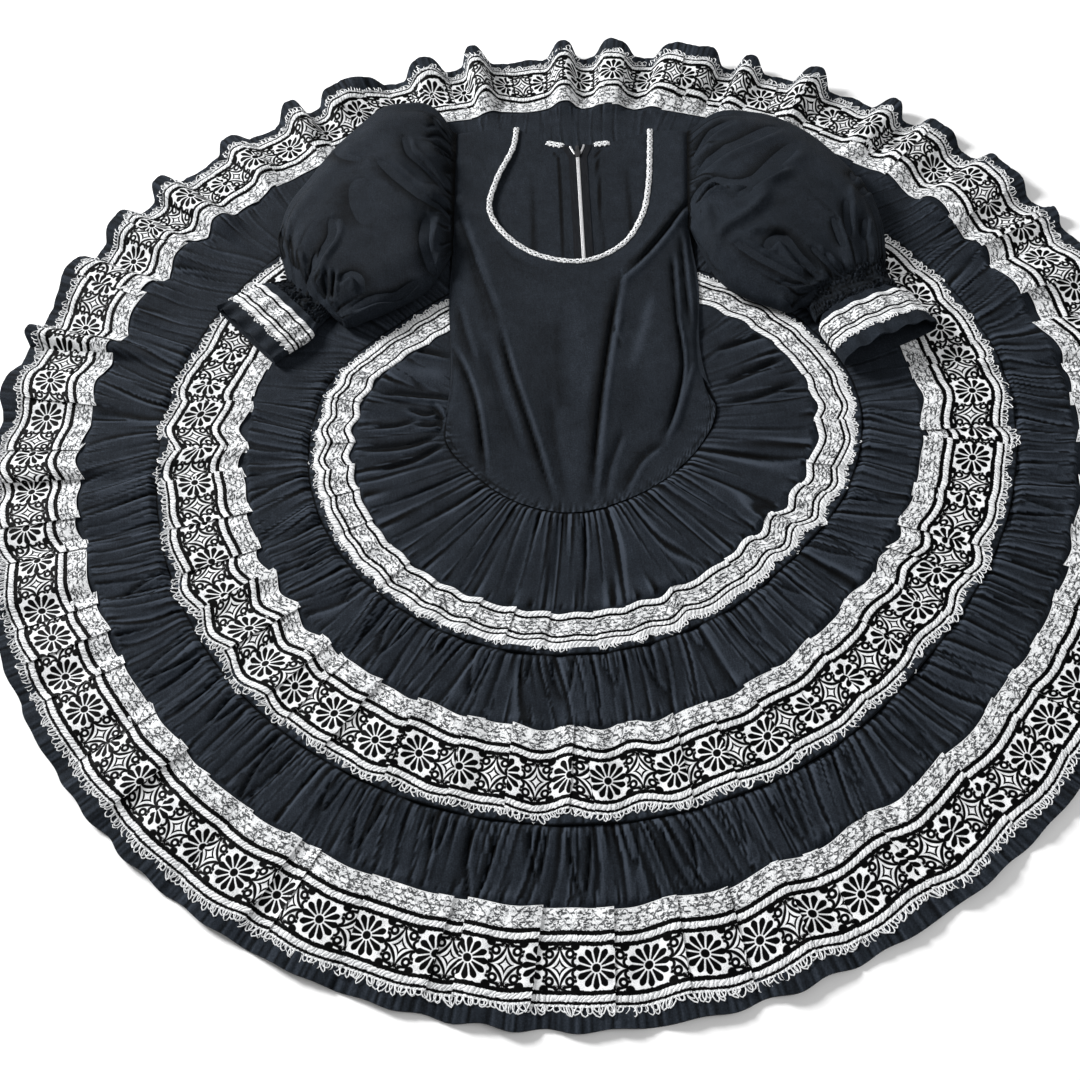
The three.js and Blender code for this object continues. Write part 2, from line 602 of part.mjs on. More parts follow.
// Braid round a cuff: the cuff's own two middle rings, moved out all round
function cuffBraid(cuff, base) {
  const sections = cuffSections(cuff).slice(1, 3);
  const grown = (by) => sections.map((section) => {
    const centreX = (section.high.x + section.low.x) / 2;
    const centreY = (section.high.y + section.low.y) / 2;
    return tubeRing(section, base, 0).map((point, i) => {
      const level = new THREE.Vector3(point.x - centreX, point.y - centreY, 0).normalize();
      const upward = Math.sin((2 * Math.PI * (i + 0.5)) / SLEEVE_COLUMNS);
      const upShare = Math.sign(upward) * Math.min(1, 3 * Math.abs(upward));
      return raised(point, by * upShare).addScaledVector(level, by * (1 - Math.abs(upward) * 0.5));
    });
  });
  const byColumn = (rings) => rings[0].map((_, i) => rings.map((ring) => ring[i]));
  return sheetSolid(byColumn(grown(LAY_GAP + BRAID)), byColumn(grown(LAY_GAP)), true);
}

const dress = new THREE.Group();

function addPiece(name, geometry, material) {
  const mesh = new THREE.Mesh(geometry, new THREE.MeshStandardMaterial(material));
  mesh.name = name;
  dress.add(mesh);
}

// Skirt tiers, each a front and a back half with its ring of braid
for (const tier of TIERS) {
  const front = halfTier(tier, 180, -SEAM_GAP / 2);
  const back = halfTier(tier, 0, SEAM_GAP / 2);
  addPiece(`${tier.name}_front`, sheetSolid(front, undersideOf(front), false), BLACK_COTTON);
  addPiece(`${tier.name}_back`, sheetSolid(back, undersideOf(back), false), BLACK_COTTON);
  addPiece(`${tier.name}_braid`, braidRing([...front.slice(0, -1), ...back.slice(0, -1)]), SILVER_BRAID);
}

// Bodice
const neckCut = toManifold(frontSheet()).subtract(toManifold(neckPrism(FRONT_NECK)));
addPiece('bodice_front', toGeometry(neckCut), BLACK_COTTON);
const leftDirections = { side: 168, centre: 69 };
const rightDirections = { side: 11, centre: 67 };
addPiece('bodice_back_left',
  backPanel(sideLeft, BACK_NECK_LEFT, leftDirections, sideLeft.getPointAt(1), -1), BLACK_COTTON);
const neckFromRight = [...BACK_NECK_RIGHT].reverse();
addPiece('bodice_back_right',
  backPanel(sideRight, neckFromRight, rightDirections, sideRight.getPointAt(1), 1), BLACK_COTTON);

// Sleeves and cuffs
for (const [side, sections, cuff] of [
  ['left', SLEEVE_LEFT, CUFF_LEFT], ['right', SLEEVE_RIGHT, CUFF_RIGHT],
]) {
  addPiece(`sleeve_${side}`, tubeSolid(sections, SLEEVE_BASE), BLACK_COTTON);
  const cuffBase = SLEEVE_BASE + LAY_GAP + BRAID;
  addPiece(`cuff_${side}`, tubeSolid(cuffSections(cuff), cuffBase), BLACK_COTTON);
  addPiece(`cuff_${side}_braid`, cuffBraid(cuff, cuffBase), SILVER_BRAID);
}

// Neck braid: along the scoop on the front, and under the edge of the back, whose outer side is down
const NECK_BRAID_WIDTH = 8;
const NECK_BRAID_INSET = 1.2;
const BACK_BRAID_SHOWS = 1.6; // past the back neck's edge
const wholeFront = new THREE.Mesh(frontSheet());
const frontNeckLine = curveThrough(FRONT_NECK).getSpacedPoints(44).slice(1, -1);
addPiece('neck_braid_front', stripOnPanel(
  frontNeckLine,
  () => [NECK_BRAID_INSET, NECK_BRAID_INSET + NECK_BRAID_WIDTH],
  (point) => topOf(wholeFront, point), 1, BRAID,
), SILVER_BRAID);
for (const [side, neck] of [['left', BACK_NECK_LEFT], ['right', BACK_NECK_RIGHT]]) {
  addPiece(`neck_braid_back_${side}`, stripOnPanel(
    curveThrough(neck).getSpacedPoints(10).slice(1, -1),
    () => [-BACK_BRAID_SHOWS, NECK_BRAID_WIDTH - BACK_BRAID_SHOWS],
    () => BODICE_BASE, -1, BRAID,
  ), SILVER_BRAID);
}

// Zip: a tape on each side of the centre back, the closed chain, and the slider with its pull
function zipLine(from, to, steps) {
  return Array.from({ length: steps + 1 }, (_, i) => {
    const y = mix(from, to, i / steps);
    return new THREE.Vector3(centreBack(y), y, 0);
  });
}
const backTop = (point) => backUnderside(point) + CLOTH + LAY_GAP;
const tapeTop = ZIP.top.y - 4;
for (const [side, sign] of [['left', -1], ['right', 1]]) {
  const offsets = (point) => {
    const places = [ZIP.tapeStart, ZIP.tapeEnd].map((place) => sign * (place + zipOpening(point.y)));
    return sign < 0 ? places.reverse() : places;
  };
  addPiece(`zip_tape_${side}`,
    stripOnPanel(zipLine(ZIP.bottom.y, tapeTop, 20), offsets, backTop, 1, ZIP.tapeThickness), ZIP_TAPE);
}
const chainEdges = [-ZIP.chainWidth / 2, ZIP.chainWidth / 2];
const chainLine = zipLine(ZIP.bottom.y, ZIP.slider.y, 12);
addPiece('zip_chain',
  stripOnPanel(chainLine, () => chainEdges, backTop, 1, ZIP.chainThickness), ZIP_METAL);
const zipLean = Math.atan2(ZIP.slider.x - ZIP.bottom.x, ZIP.slider.y - ZIP.bottom.y);
const sliderBoxes = SLIDER_PARTS.map(({ from, to, width, low, high }) => {
  const box = new THREE.BoxGeometry(width, to - from, high - low);
  box.translate(0, (from + to) / 2, (low + high) / 2);
  return toManifold(box.rotateZ(-zipLean).translate(ZIP.slider.x, ZIP.slider.y, 0));
});
addPiece('zip_slider', toGeometry(wasm.Manifold.union(sliderBoxes)), ZIP_ENAMEL);

// The origin lies under the middle of the dress's box, on the floor
const extent = new THREE.Box3().setFromObject(dress);
const middle = extent.getCenter(new THREE.Vector3());
dress.position.set(-middle.x, -middle.y, -extent.min.z);

export default dress;
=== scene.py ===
"""Looks of a folk dance dress that lies face up on a pale floor.

A scoop-necked black cotton bodice with puffed sleeves lies over the back of its own three-tier
gathered skirt, which is spread round it in a ring. Silver-white woven braid runs round each tier,
each cuff and the neck. Shapes are worked out in millimetres round the middle of the skirt's ring
and put into the meshes in metres, in the frame of the solids.
"""
import math

import bmesh
import bpy
import numpy as np
from mathutils import Matrix, Vector


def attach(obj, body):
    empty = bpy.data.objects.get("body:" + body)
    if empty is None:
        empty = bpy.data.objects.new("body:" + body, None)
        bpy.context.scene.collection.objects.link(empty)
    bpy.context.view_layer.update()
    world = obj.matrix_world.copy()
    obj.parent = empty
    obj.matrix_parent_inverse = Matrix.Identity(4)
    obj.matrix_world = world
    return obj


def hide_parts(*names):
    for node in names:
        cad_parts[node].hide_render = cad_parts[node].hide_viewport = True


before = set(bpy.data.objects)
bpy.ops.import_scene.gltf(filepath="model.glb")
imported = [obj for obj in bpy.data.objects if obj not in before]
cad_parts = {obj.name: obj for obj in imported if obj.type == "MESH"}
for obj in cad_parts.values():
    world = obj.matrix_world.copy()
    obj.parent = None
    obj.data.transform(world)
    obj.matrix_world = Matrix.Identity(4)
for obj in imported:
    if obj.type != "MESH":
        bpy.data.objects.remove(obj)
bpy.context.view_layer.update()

MM = 0.001
RING_CENTRE = np.array([1.7676, 7.8432, 0.0])  # the middle of the skirt's ring, from the origin
CLOTH = 1.4  # the solids' cotton wall
SHELL = 0.8  # the thickness that the cotton really shows at its edges
SEAM_GAP = 0.4  # between two pieces that are sewn edge to edge
FLAT_WAVE = 1.2  # highest gather where the bodice or a sleeve lies on the skirt
SEAM_WAVE = 0.6  # highest gather right at the waist seam
BODICE_BASE = 4.4  # the back bodice's underside, over the skirt and its braid
SLEEVE_BASE = 4.5
LAY_GAP = 0.3  # between pieces that lie on each other
SHARP = math.radians(58)  # faces that meet more steeply than this keep a sharp edge

# The skirt from above: direction from the ring's middle, the radius of each seam and the hem, and
# the height of the hem's waves
SKIRT_COLUMNS = ("waist", "seam1", "seam2", "hem", "lift")
SKIRT = np.array([
    (166, 328, 498, 672, 9), (156, 309, 488, 668, 13), (118, 286, 470, 664, 17), (90, 268, 456, 657, 20),
    (80, 260, 452, 661, 22), (86, 258, 459, 672, 20), (108, 266, 472, 684, 19), (138, 294, 480, 687, 15),
    (145, 303, 477, 675, 10), (129, 304, 477, 667, 7), (123, 302, 480, 669, 5), (122, 302, 484, 675, 4),
    (123, 301, 486, 677, 4), (123, 300, 483, 668, 4), (131, 302, 476, 661, 5), (147, 320, 488, 665, 7),
], dtype=float)

# Each tier's seams, the number and height of its coarse waves, and where its braid lies. seed starts
# its own gathers, which lie closer on the top tier, and gather_shade is how dark their painted shade
# is, darkest there
TIERS = {
    "tier1": dict(inner="waist", outer="seam1", waves=32, gather=3.2, braid_inset=9, braid_width=42,
                  seed=20, spacing=0.68, gather_shade=1.45),
    "tier2": dict(inner="seam1", outer="seam2", waves=40, gather=4.0, braid_inset=11, braid_width=90,
                  seed=41, spacing=0.9, gather_shade=1.1),
    "tier3": dict(inner="seam2", outer="hem", waves=44, gather=3.0, braid_inset=21, braid_width=90,
                  seed=63, spacing=0.9, gather_shade=1.1),
}

SIDE_LEFT = [(-142, 26), (-131, 90), (-128, 205), (-118, 290), (-113.3, 345), (-107.8, 410), (-99, 514)]
SIDE_RIGHT = [(159, 26), (161, 90), (177, 185), (181, 285), (190, 345), (198.3, 400), (208, 464)]
FRONT_NECK = [
    (-12, 512), (-21, 470), (-48, 410), (-61, 358), (-46, 312), (-8, 269),
    (45, 251), (92, 270), (122, 316), (138, 372), (147, 425), (155, 478),
]
BACK_NECK_LEFT = [(-13, 509), (10, 485), (34, 471), (48, 467)]
BACK_NECK_RIGHT = [(80, 463), (103, 463), (132, 468), (156, 474)]
ZIP_BOTTOM, ZIP_SLIDER, ZIP_TOP = (33, 100), (58, 440), (63, 466)
ZIP_OPEN = 8  # how far each edge stands off at the top of the open zip

# Soft creases of the bodice front: from, to, width, height
FRONT_CREASES = [
    (-104, 345, -64, 120, 26, 4.5), (-64, 130, -34, -84, 22, 4.0), (176, 322, 78, 196, 28, 4.5),
    (82, 205, 20, -88, 24, 4.0), (140, 170, 96, -40, 22, 3.5), (-112, 160, -96, -20, 20, 3.5),
]

# Sleeve sections from the armhole to the end of the shirring: both edges, height and gather depth
SLEEVES = {
    "left": [
        (-99.8, 513, -118.8, 290, 9, 0.4), (-120, 556, -131, 262, 27, 2.6), (-172, 572, -150, 228, 42, 1.4),
        (-236, 522, -188, 202, 48, 0.8), (-292, 445, -226, 187, 46, 1.0), (-330, 372, -250, 182, 38, 2.2),
        (-336, 322, -259, 190, 25, 3.0), (-329, 293, -266, 205, 15, 1.2), (-347, 273, -289, 192, 14, 1.0),
    ],
    "right": [
        (208.6, 463, 181.8, 285, 9, 0.4), (240, 480, 186, 252, 27, 2.6), (296, 468, 193, 208, 42, 1.4),
        (350, 422, 208, 170, 48, 0.8), (388, 356, 232, 146, 46, 1.0), (412, 286, 257, 130, 40, 2.2),
        (412, 222, 276, 122, 33, 3.0), (402, 168, 292, 131, 27, 1.2), (408, 138, 302, 102, 27, 1.0),
    ],
}
CUFFS = {
    "left": dict(start=(-318, 232.5), along=(-0.813, -0.582), height=14, flare=5),
    "right": dict(start=(355, 120), along=(0.322, -0.947), height=27, flare=6),
}
# Cuff sections: distance from the shirring, half width, gather depth
CUFF_SECTIONS = [(0.4, 50, 1.0), (11, 57, 1.6), (51, 60, 1.6), (73, 62, 2.6)]


# Curves and small functions

def smooth(x, low, high):
    """Rises from 0 at low to 1 at high along 3t^2 - 2t^3."""
    t = np.clip((np.asarray(x, dtype=float) - low) / (high - low), 0, 1)
    return t * t * (3 - 2 * t)


def mix(a, b, t):
    """a + (b - a) t"""
    return a + (b - a) * t


def together(*arrays):
    """Arrays side by side along a new last axis, such as x, y and z."""
    return np.stack(arrays, axis=-1)


def raised(plan, height):
    """Plan places with a height each."""
    return np.concatenate([plan, height[..., None]], axis=-1)


def skirt_value(column, direction):
    """The smooth closed curve through a column of the skirt's table, at directions in degrees: the
    cubic between rows b and c with slopes (c - a) / 2 and (d - b) / 2."""
    table = SKIRT[:, SKIRT_COLUMNS.index(column)]
    place = np.mod(direction, 360) / (360 / len(table))
    row = np.floor(place).astype(int)
    t = place - row
    a, b, c, d = (table[(row + step) % len(table)] for step in (-1, 0, 1, 2))
    return b + 0.5 * t * (c - a + t * (2 * a - 5 * b + 4 * c - d + t * (3 * (b - c) + d - a)))


def cubic(t, low, high, start, end):
    """From low to high over t from 0 to 1, with slopes start and end there:
    low (2t^3 - 3t^2 + 1) + start (t^3 - 2t^2 + t) + high (3t^2 - 2t^3) + end (t^3 - t^2)."""
    square, cube = t ** 2, t ** 3
    return (low * (2 * cube - 3 * square + 1) + start * (cube - 2 * square + t)
            + high * (3 * square - 2 * cube) + end * (cube - square))


def length_along(line):
    """The length of a line of points up to each of them."""
    return np.concatenate([[0], np.cumsum(np.linalg.norm(np.diff(line, axis=0), axis=1))])


def smooth_line(points, shares):
    """Points at shares of the length of a smooth curve through some points: a cubic between each two,
    whose slopes weigh the steps on both sides by the square roots of their lengths."""
    p = np.asarray(points, dtype=float)
    p = np.vstack([2 * p[0] - p[1], p, 2 * p[-1] - p[-2]])
    gaps = np.sqrt(np.linalg.norm(np.diff(p, axis=0), axis=1))
    t = np.linspace(0, 1, 41)[:, None]
    pieces = []
    for i in range(len(p) - 3):
        x0, x1, x2, x3 = p[i:i + 4]
        g0, g1, g2 = gaps[i:i + 3]
        start = g1 * ((x1 - x0) / g0 - (x2 - x0) / (g0 + g1) + (x2 - x1) / g1)
        end = g1 * ((x2 - x1) / g1 - (x3 - x1) / (g1 + g2) + (x3 - x2) / g2)
        pieces.append(cubic(t, x1, x2, start, end))
    fine = np.vstack([pieces[0]] + [piece[1:] for piece in pieces[1:]])
    length = length_along(fine)
    wanted = np.asarray(shares) * length[-1]
    return together(*[np.interp(wanted, length, fine[:, k]) for k in range(fine.shape[1])])


def polar(direction, radius):
    """Plan points at directions in degrees and radii."""
    angle = np.radians(direction)
    return together(radius * np.cos(angle), radius * np.sin(angle))


def along_segment(x, y, start, end):
    """Distance of points to a segment, and how far along it they lie as a share t:
    |point - start - t (end - start)|."""
    dx, dy = end[0] - start[0], end[1] - start[1]
    share = ((x - start[0]) * dx + (y - start[1]) * dy) / (dx * dx + dy * dy)
    t = np.clip(share, 0, 1)
    return np.hypot(x - start[0] - t * dx, y - start[1] - t * dy), share


def crease_height(x, y, creases):
    """The highest of some ridges: height * exp(-(distance / width)^2), fading at both ends."""
    total = np.zeros_like(x)
    for x0, y0, x1, y1, width, height in creases:
        distance, share = along_segment(x, y, (x0, y0), (x1, y1))
        ends = smooth(share, -0.15, 0.2) * (1 - smooth(share, 0.8, 1.15))
        total = np.maximum(total, height * ends * np.exp(-(distance / width) ** 2))
    return total


def ripple(angle, count, seed, parts=6):
    """A wave round a full turn: the sum of sines whose counts lie within a quarter of count."""
    rng = np.random.default_rng(seed)
    counts = rng.integers(int(count * 0.75), int(count * 1.25) + 1, parts)
    phases = rng.uniform(0, 2 * math.pi, parts)
    return sum(np.sin(n * angle + phase) for n, phase in zip(counts, phases)) / math.sqrt(parts / 2)


# Meshes

def grid_quads(columns, rows, first, closed):
    """Corner numbers of a grid's quads, column by column."""
    i = np.arange(columns if closed else columns - 1)[:, None]
    j = np.arange(rows - 1)[None, :]
    a = first + i * rows + j
    b = first + ((i + 1) % columns) * rows + j
    return together(a, b, b + 1, a + 1).reshape(-1, 4)


def signed_volume(points, quads):
    """Sum of the quads' signed tetrahedra from the origin, times six."""
    a, b, c, d = (points[quads[:, k]] for k in range(4))
    return float((a * (np.cross(b, c) + np.cross(c, d))).sum())


def make_object(name, points, quads, rims=(), uv=None, painted_shading=None):
    """An object at the origin, with smooth faces, from points in millimetres round the ring's middle.

    rims are faces with many corners, uv the points' places on the cloth and painted_shading their painted
    shade, below 0 a painted highlight.
    """
    sizes = np.concatenate([np.full(len(quads), 4), [len(rim) for rim in rims]]).astype(np.int32)
    starts = np.concatenate([[0], np.cumsum(sizes)[:-1]]).astype(np.int32)
    corners = np.concatenate([quads.ravel(), *rims]).astype(np.int32)
    mesh = bpy.data.meshes.new(name)
    mesh.vertices.add(len(points))
    mesh.vertices.foreach_set("co", ((points + RING_CENTRE) * MM).astype(np.float32).ravel())
    mesh.loops.add(len(corners))
    mesh.loops.foreach_set("vertex_index", corners)
    mesh.polygons.add(len(sizes))
    mesh.polygons.foreach_set("loop_start", starts)
    mesh.polygons.foreach_set("loop_total", sizes)
    if uv is not None:
        layer = mesh.uv_layers.new(name="cloth")
        layer.data.foreach_set("uv", (uv[corners] * MM).astype(np.float32).ravel())
    # painted shade on each point, and below 0 a painted highlight, for the cloth's colour
    if painted_shading is not None:
        layer = mesh.attributes.new("painted_shading", "FLOAT", "POINT")
        layer.data.foreach_set("value", painted_shading.astype(np.float32))
    mesh.update(calc_edges=True)
    mesh.validate()
    mesh.shade_smooth()
    mesh.set_sharp_from_angle(angle=SHARP)
    made = bpy.data.objects.new(name, mesh)
    bpy.context.scene.collection.objects.link(made)
    return made


def outward_quads(points, quads):
    """The quads, all turned over if they face inwards."""
    return quads[:, ::-1] if signed_volume(points, quads) < 0 else quads


def shell(name, top, bottom, closed=False, uv=None, painted_shading=None, under_rows=None):
    """A closed thin shell between two grids of points, columns by rows, with the same columns.

    The borders are joined by quads, and an open strip's two ends by one face each. The underside's
    rows lie at under_rows, as shares of the way across, or evenly.
    """
    columns, rows = top.shape[:2]
    under = bottom.shape[1]
    points = np.concatenate([top.reshape(-1, 3), bottom.reshape(-1, 3)])
    first = columns * rows
    i = np.arange(columns if closed else columns - 1)
    k = (i + 1) % columns
    last, last_under = rows - 1, under - 1
    quads = np.concatenate([
        grid_quads(columns, rows, 0, closed),
        grid_quads(columns, under, first, closed)[:, ::-1],
        together(i * rows, first + i * under, first + k * under, k * rows),
        together(i * rows + last, k * rows + last, first + k * under + last_under,
                 first + i * under + last_under),
    ])
    rims = []
    if not closed:
        start = np.concatenate([np.arange(rows), first + np.arange(under)[::-1]])
        end = np.concatenate([np.arange(rows) + (columns - 1) * rows,
                              first + (columns - 1) * under + np.arange(under)[::-1]])
        rims = [start, end[::-1]]
    if signed_volume(points, quads) < 0:
        quads = quads[:, ::-1]
        rims = [rim[::-1] for rim in rims]
    if uv is not None:
        places = np.linspace(0, 1, under) if under_rows is None else np.array(under_rows)
        picked = np.round(places * (rows - 1)).astype(int)
        uv = np.concatenate([uv.reshape(-1, 2), uv[:, picked].reshape(-1, 2)])
    if painted_shading is not None:
        painted_shading = np.concatenate([painted_shading.ravel(), np.zeros(columns * under)])
    return make_object(name, points, quads, rims, uv, painted_shading)


def finish_piece(piece, material, nodes):
    """Gives a piece its material and its place on the body, and hides the solids it stands for."""
    piece.data.materials.append(material)
    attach(piece, "root")
    for node in nodes:
        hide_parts(node)
    return piece


# The skirt

def side_line(side, shares):
    """The bodice's side from the waist seam to the shoulder, at shares of its length."""
    direction = 180.0 if side == "left" else 360.0
    start = polar(direction, skirt_value("waist", direction) - SEAM_GAP / 2)
    return smooth_line([start, *(SIDE_LEFT if side == "left" else SIDE_RIGHT)], shares)


def cuff_sections(side):
    """A cuff's sections in the sleeves' form: both edges, height and gather depth."""
    cuff = CUFFS[side]
    start, along = np.array(cuff["start"]), np.array(cuff["along"])
    turn = (1 if side == "left" else -1) * np.array([along[1], -along[0]])
    rows = []
    for distance, half, gather in CUFF_SECTIONS:
        centre = start + distance * along
        high, low = centre + turn * half, centre - turn * half
        height = cuff["height"] + cuff["flare"] * distance / CUFF_SECTIONS[-1][0]
        rows.append((*high, *low, height, gather))
    return rows


# Lines across the bodice, the sleeves and the cuffs, which press the skirt under them
ELEVENTHS = np.linspace(0, 1, 11)
COVER_LINES = list(zip(side_line("left", ELEVENTHS), side_line("right", ELEVENTHS)))
for rows in (SLEEVES["left"], SLEEVES["right"], cuff_sections("left"), cuff_sections("right")):
    COVER_LINES += [(row[0:2], row[2:4]) for row in rows]


def cover_share(x, y):
    """1 within 32 mm of a line across the bodice or a sleeve, which press the skirt flat, and 0 from
    80 mm on, where it is free."""
    nearest = np.full(x.shape, 1e9)
    for start, end in COVER_LINES:
        nearest = np.minimum(nearest, along_segment(x, y, start, end)[0])
    return 1 - smooth(nearest, 32, 80)


# Gathers run from each seam as whole lines. Every second one runs on further than the rest, and
# every fourth one further still: spacing, height, reach from the seam, and width of each line's painted shade
GATHER_SETS = [(36, 3.4, 120, 1.6), (18, 2.6, 62, 1.35), (9, 1.6, 24, 1.1)]


def scatter(number, seed):
    """A value from 0 to 1 for each whole number, without pattern: the fraction of a large sine."""
    return np.mod(np.sin(number * 12.9898 + seed * 78.233) * 43758.5453, 1)


def stronger(a, b):
    """Whichever value is further from 0."""
    return np.where(np.abs(a) > np.abs(b), a, b)


def pleat_phases(angle, spacing, radius, seed):
    """Three phases that pass a whole number at each gather, each twice as fine as the one before.

    The first is count * angle / 2 pi plus five sines that make the gathers uneven. Each next one is
    twice the one before, bent by a sine between its whole numbers.
    """
    rng = np.random.default_rng(seed)
    count = 2 * math.pi * radius / spacing
    first = angle * round(count) / (2 * math.pi)
    for step in rng.uniform(0.2, 0.7, 5):
        turns = max(1, round(count * step))
        first = first + 0.1 / step / (2 * math.pi) * np.sin(turns * angle + rng.uniform(0, 6.3))
    second = 2 * first + 0.12 * np.sin(2 * math.pi * first) * np.sin(7 * angle + seed)
    third = 2 * second + 0.12 * np.sin(2 * math.pi * second) * np.sin(11 * angle + seed)
    return first, second, third


def pleats(angle, distance, spacing_scale, radius, seed, reach_scale=1.0, spread=1.0):
    """Ridges between the gathers' lines, and painted shade down in the lines, which turns below 0 into a
    painted highlight where light catches the fold beside a line.

    A ridge is sin(pi share^lean)^0.5 high, leans to one side, and fades from the seam as
    exp(-(distance / reach)^1.6). A line's painted shade is exp(-|off / width|^1.5), and the painted
    highlight of the lit fold lies two widths beside it. spread is how much further apart the lines lie
    here than at the seam.
    """
    height = np.zeros_like(distance)
    dark = np.zeros_like(distance)
    phases = pleat_phases(angle, GATHER_SETS[0][0] * spacing_scale, radius, seed)
    for k, (phase, (spacing, rise, reach, width)) in enumerate(zip(phases, GATHER_SETS)):
        spacing, reach = spacing * spacing_scale, reach * reach_scale
        cell, line = np.floor(phase), np.round(phase)
        size = 0.25 + 1.05 * scatter(cell, seed + k) ** 1.4
        fade = np.exp(-(distance / (reach * (0.45 + 0.9 * scatter(cell, seed + 3 + k)))) ** 1.6)
        lean = np.exp(1.3 * (scatter(cell, seed + 12 + k) - 0.5))
        height = height + rise * size * fade * np.sin(math.pi * (phase - cell) ** lean) ** 0.5
        off = (phase - line) * spacing * spread
        line_fade = np.exp(-(distance / (reach * (0.5 + 1.0 * scatter(line, seed + 6 + k)))) ** 1.8)
        strength = 0.35 + 0.75 * scatter(line, seed + 9 + k) ** 0.8
        side = np.where(scatter(line, seed + 15 + k) > 0.4, 1, -1)
        # painted shade down the line, and a painted highlight on the lit fold beside it
        trough = strength * line_fade * np.exp(-np.abs(off / width) ** 1.5)
        lit = strength * line_fade * np.exp(-((off * side - 2.0 * width) / (0.85 * width)) ** 2)
        dark = stronger(stronger(dark, -0.9 * lit), trough)
    return height, dark


# Folds drawn on the top tier, beside the waist: width, depth (below 0 stands up), and the
# places of a line as x, y, x, y and so on
TIER_FOLDS = [
    (3.4, 4.4, -214, 152, -170, 139, -129, 122), (3.4, 5.0, -214, 78, -170, 68, -129, 58),
    (18, -2.6, -205, 112, -168, 101, -133, 92), (3, 3.6, -158, 52, -148, 34, -152, 10),
    (3, 3.4, -184, 50, -166, 40, -150, 42), (3, 3.2, -176, 26, -160, 22, -146, 26),
    (3.4, 2.8, -230, 30, -200, 28, -178, 34), (4, 2.5, -240, -2, -190, -4, -152, 8),
    (4, 2.5, -228, -34, -180, -24, -140, -2), (4, 2.2, 255, 60, 215, 44, 180, 30),
    (4, 2.2, 262, 20, 220, 8, 178, 4), (4, 2.2, 250, 100, 214, 92, 180, 84),
    (5, -2.0, 240, 130, 215, 136, 192, 128),
]
# V-shaped creases of the lower tiers at the front: the direction of each, half its spread in degrees
# at the seam, how far it reaches, and its depth
V_CREASES = {
    "tier2": [
        (206, 2.0, 52, 2.6), (217, 1.4, 38, 2.0), (229, 2.2, 60, 2.8), (238, 1.2, 34, 2.2),
        (247, 1.8, 66, 2.6), (255, 1.1, 40, 2.4), (262, 2.1, 58, 3.0), (271, 1.3, 44, 2.2),
        (279, 1.9, 70, 2.8), (288, 1.2, 36, 2.0), (297, 2.2, 62, 2.6), (309, 1.5, 42, 2.4),
        (321, 1.9, 56, 2.6), (334, 1.4, 40, 2.0),
    ],
    "tier3": [
        (198, 1.1, 60, 2.4), (209, 1.5, 84, 2.8), (219, 0.9, 46, 2.2), (228, 1.4, 92, 3.2),
        (236, 0.8, 54, 2.4), (241, 1.3, 76, 3.0), (249, 1.0, 48, 3.0), (254, 1.5, 98, 3.4),
        (260, 0.9, 62, 3.2), (264.5, 1.2, 80, 3.4), (270, 0.8, 50, 2.8), (275, 1.5, 90, 3.2),
        (281, 1.0, 58, 2.8), (287, 1.3, 74, 3.0), (295, 0.9, 52, 2.4), (303, 1.4, 86, 2.8),
        (313, 1.0, 60, 2.4), (325, 1.3, 78, 2.6), (338, 1.0, 56, 2.2),
    ],
}
V_WIDTH, V_DEPTH = 2.2, 0.55  # of each crease, and the share of the depth drawn that each of its arms has
FOLD_DEPTH = 1.5  # how much deeper folds are than drawn, to show on black cloth
WINDOW_SIDE = (-0.78, 0.63)  # the way towards the light, from above


def v_folds(name):
    """Each V as two drawn folds that run from the seam to its point, bowed outwards."""
    folds = []
    for direction, half, reach, depth in V_CREASES.get(name, []):
        seam = float(skirt_value(TIERS[name]["inner"], float(direction)))
        tip = polar(direction + 0.25 * half, seam + reach)
        for side in (-1, 1):
            root = polar(direction + side * half, seam + 3)
            bend = polar(direction + side * half * 0.8, seam + 0.45 * reach)
            folds.append((V_WIDTH, V_DEPTH * depth, *root, *bend, *tip))
    return folds


def near_line(x, y, points):
    """Distance to a bent line, below 0 on the window's side of it, and how far along it the nearest
    point lies as a share."""
    line = smooth_line(points, np.linspace(0, 1, 10))
    nearest = np.full(x.shape, 1e9)
    along = np.zeros(x.shape)
    side = np.ones(x.shape)
    run = line[-1] - line[0]
    facing = 1 if run[1] * WINDOW_SIDE[0] - run[0] * WINDOW_SIDE[1] < 0 else -1
    for k in range(len(line) - 1):
        distance, share = along_segment(x, y, line[k], line[k + 1])
        closer = distance < nearest
        nearest = np.where(closer, distance, nearest)
        along = np.where(closer, (k + np.clip(share, 0, 1)) / (len(line) - 1), along)
        step = line[k + 1] - line[k]
        right = (x - line[k][0]) * step[1] - (y - line[k][1]) * step[0]
        side = np.where(closer, np.sign(right), side)
    return nearest * side * facing, along


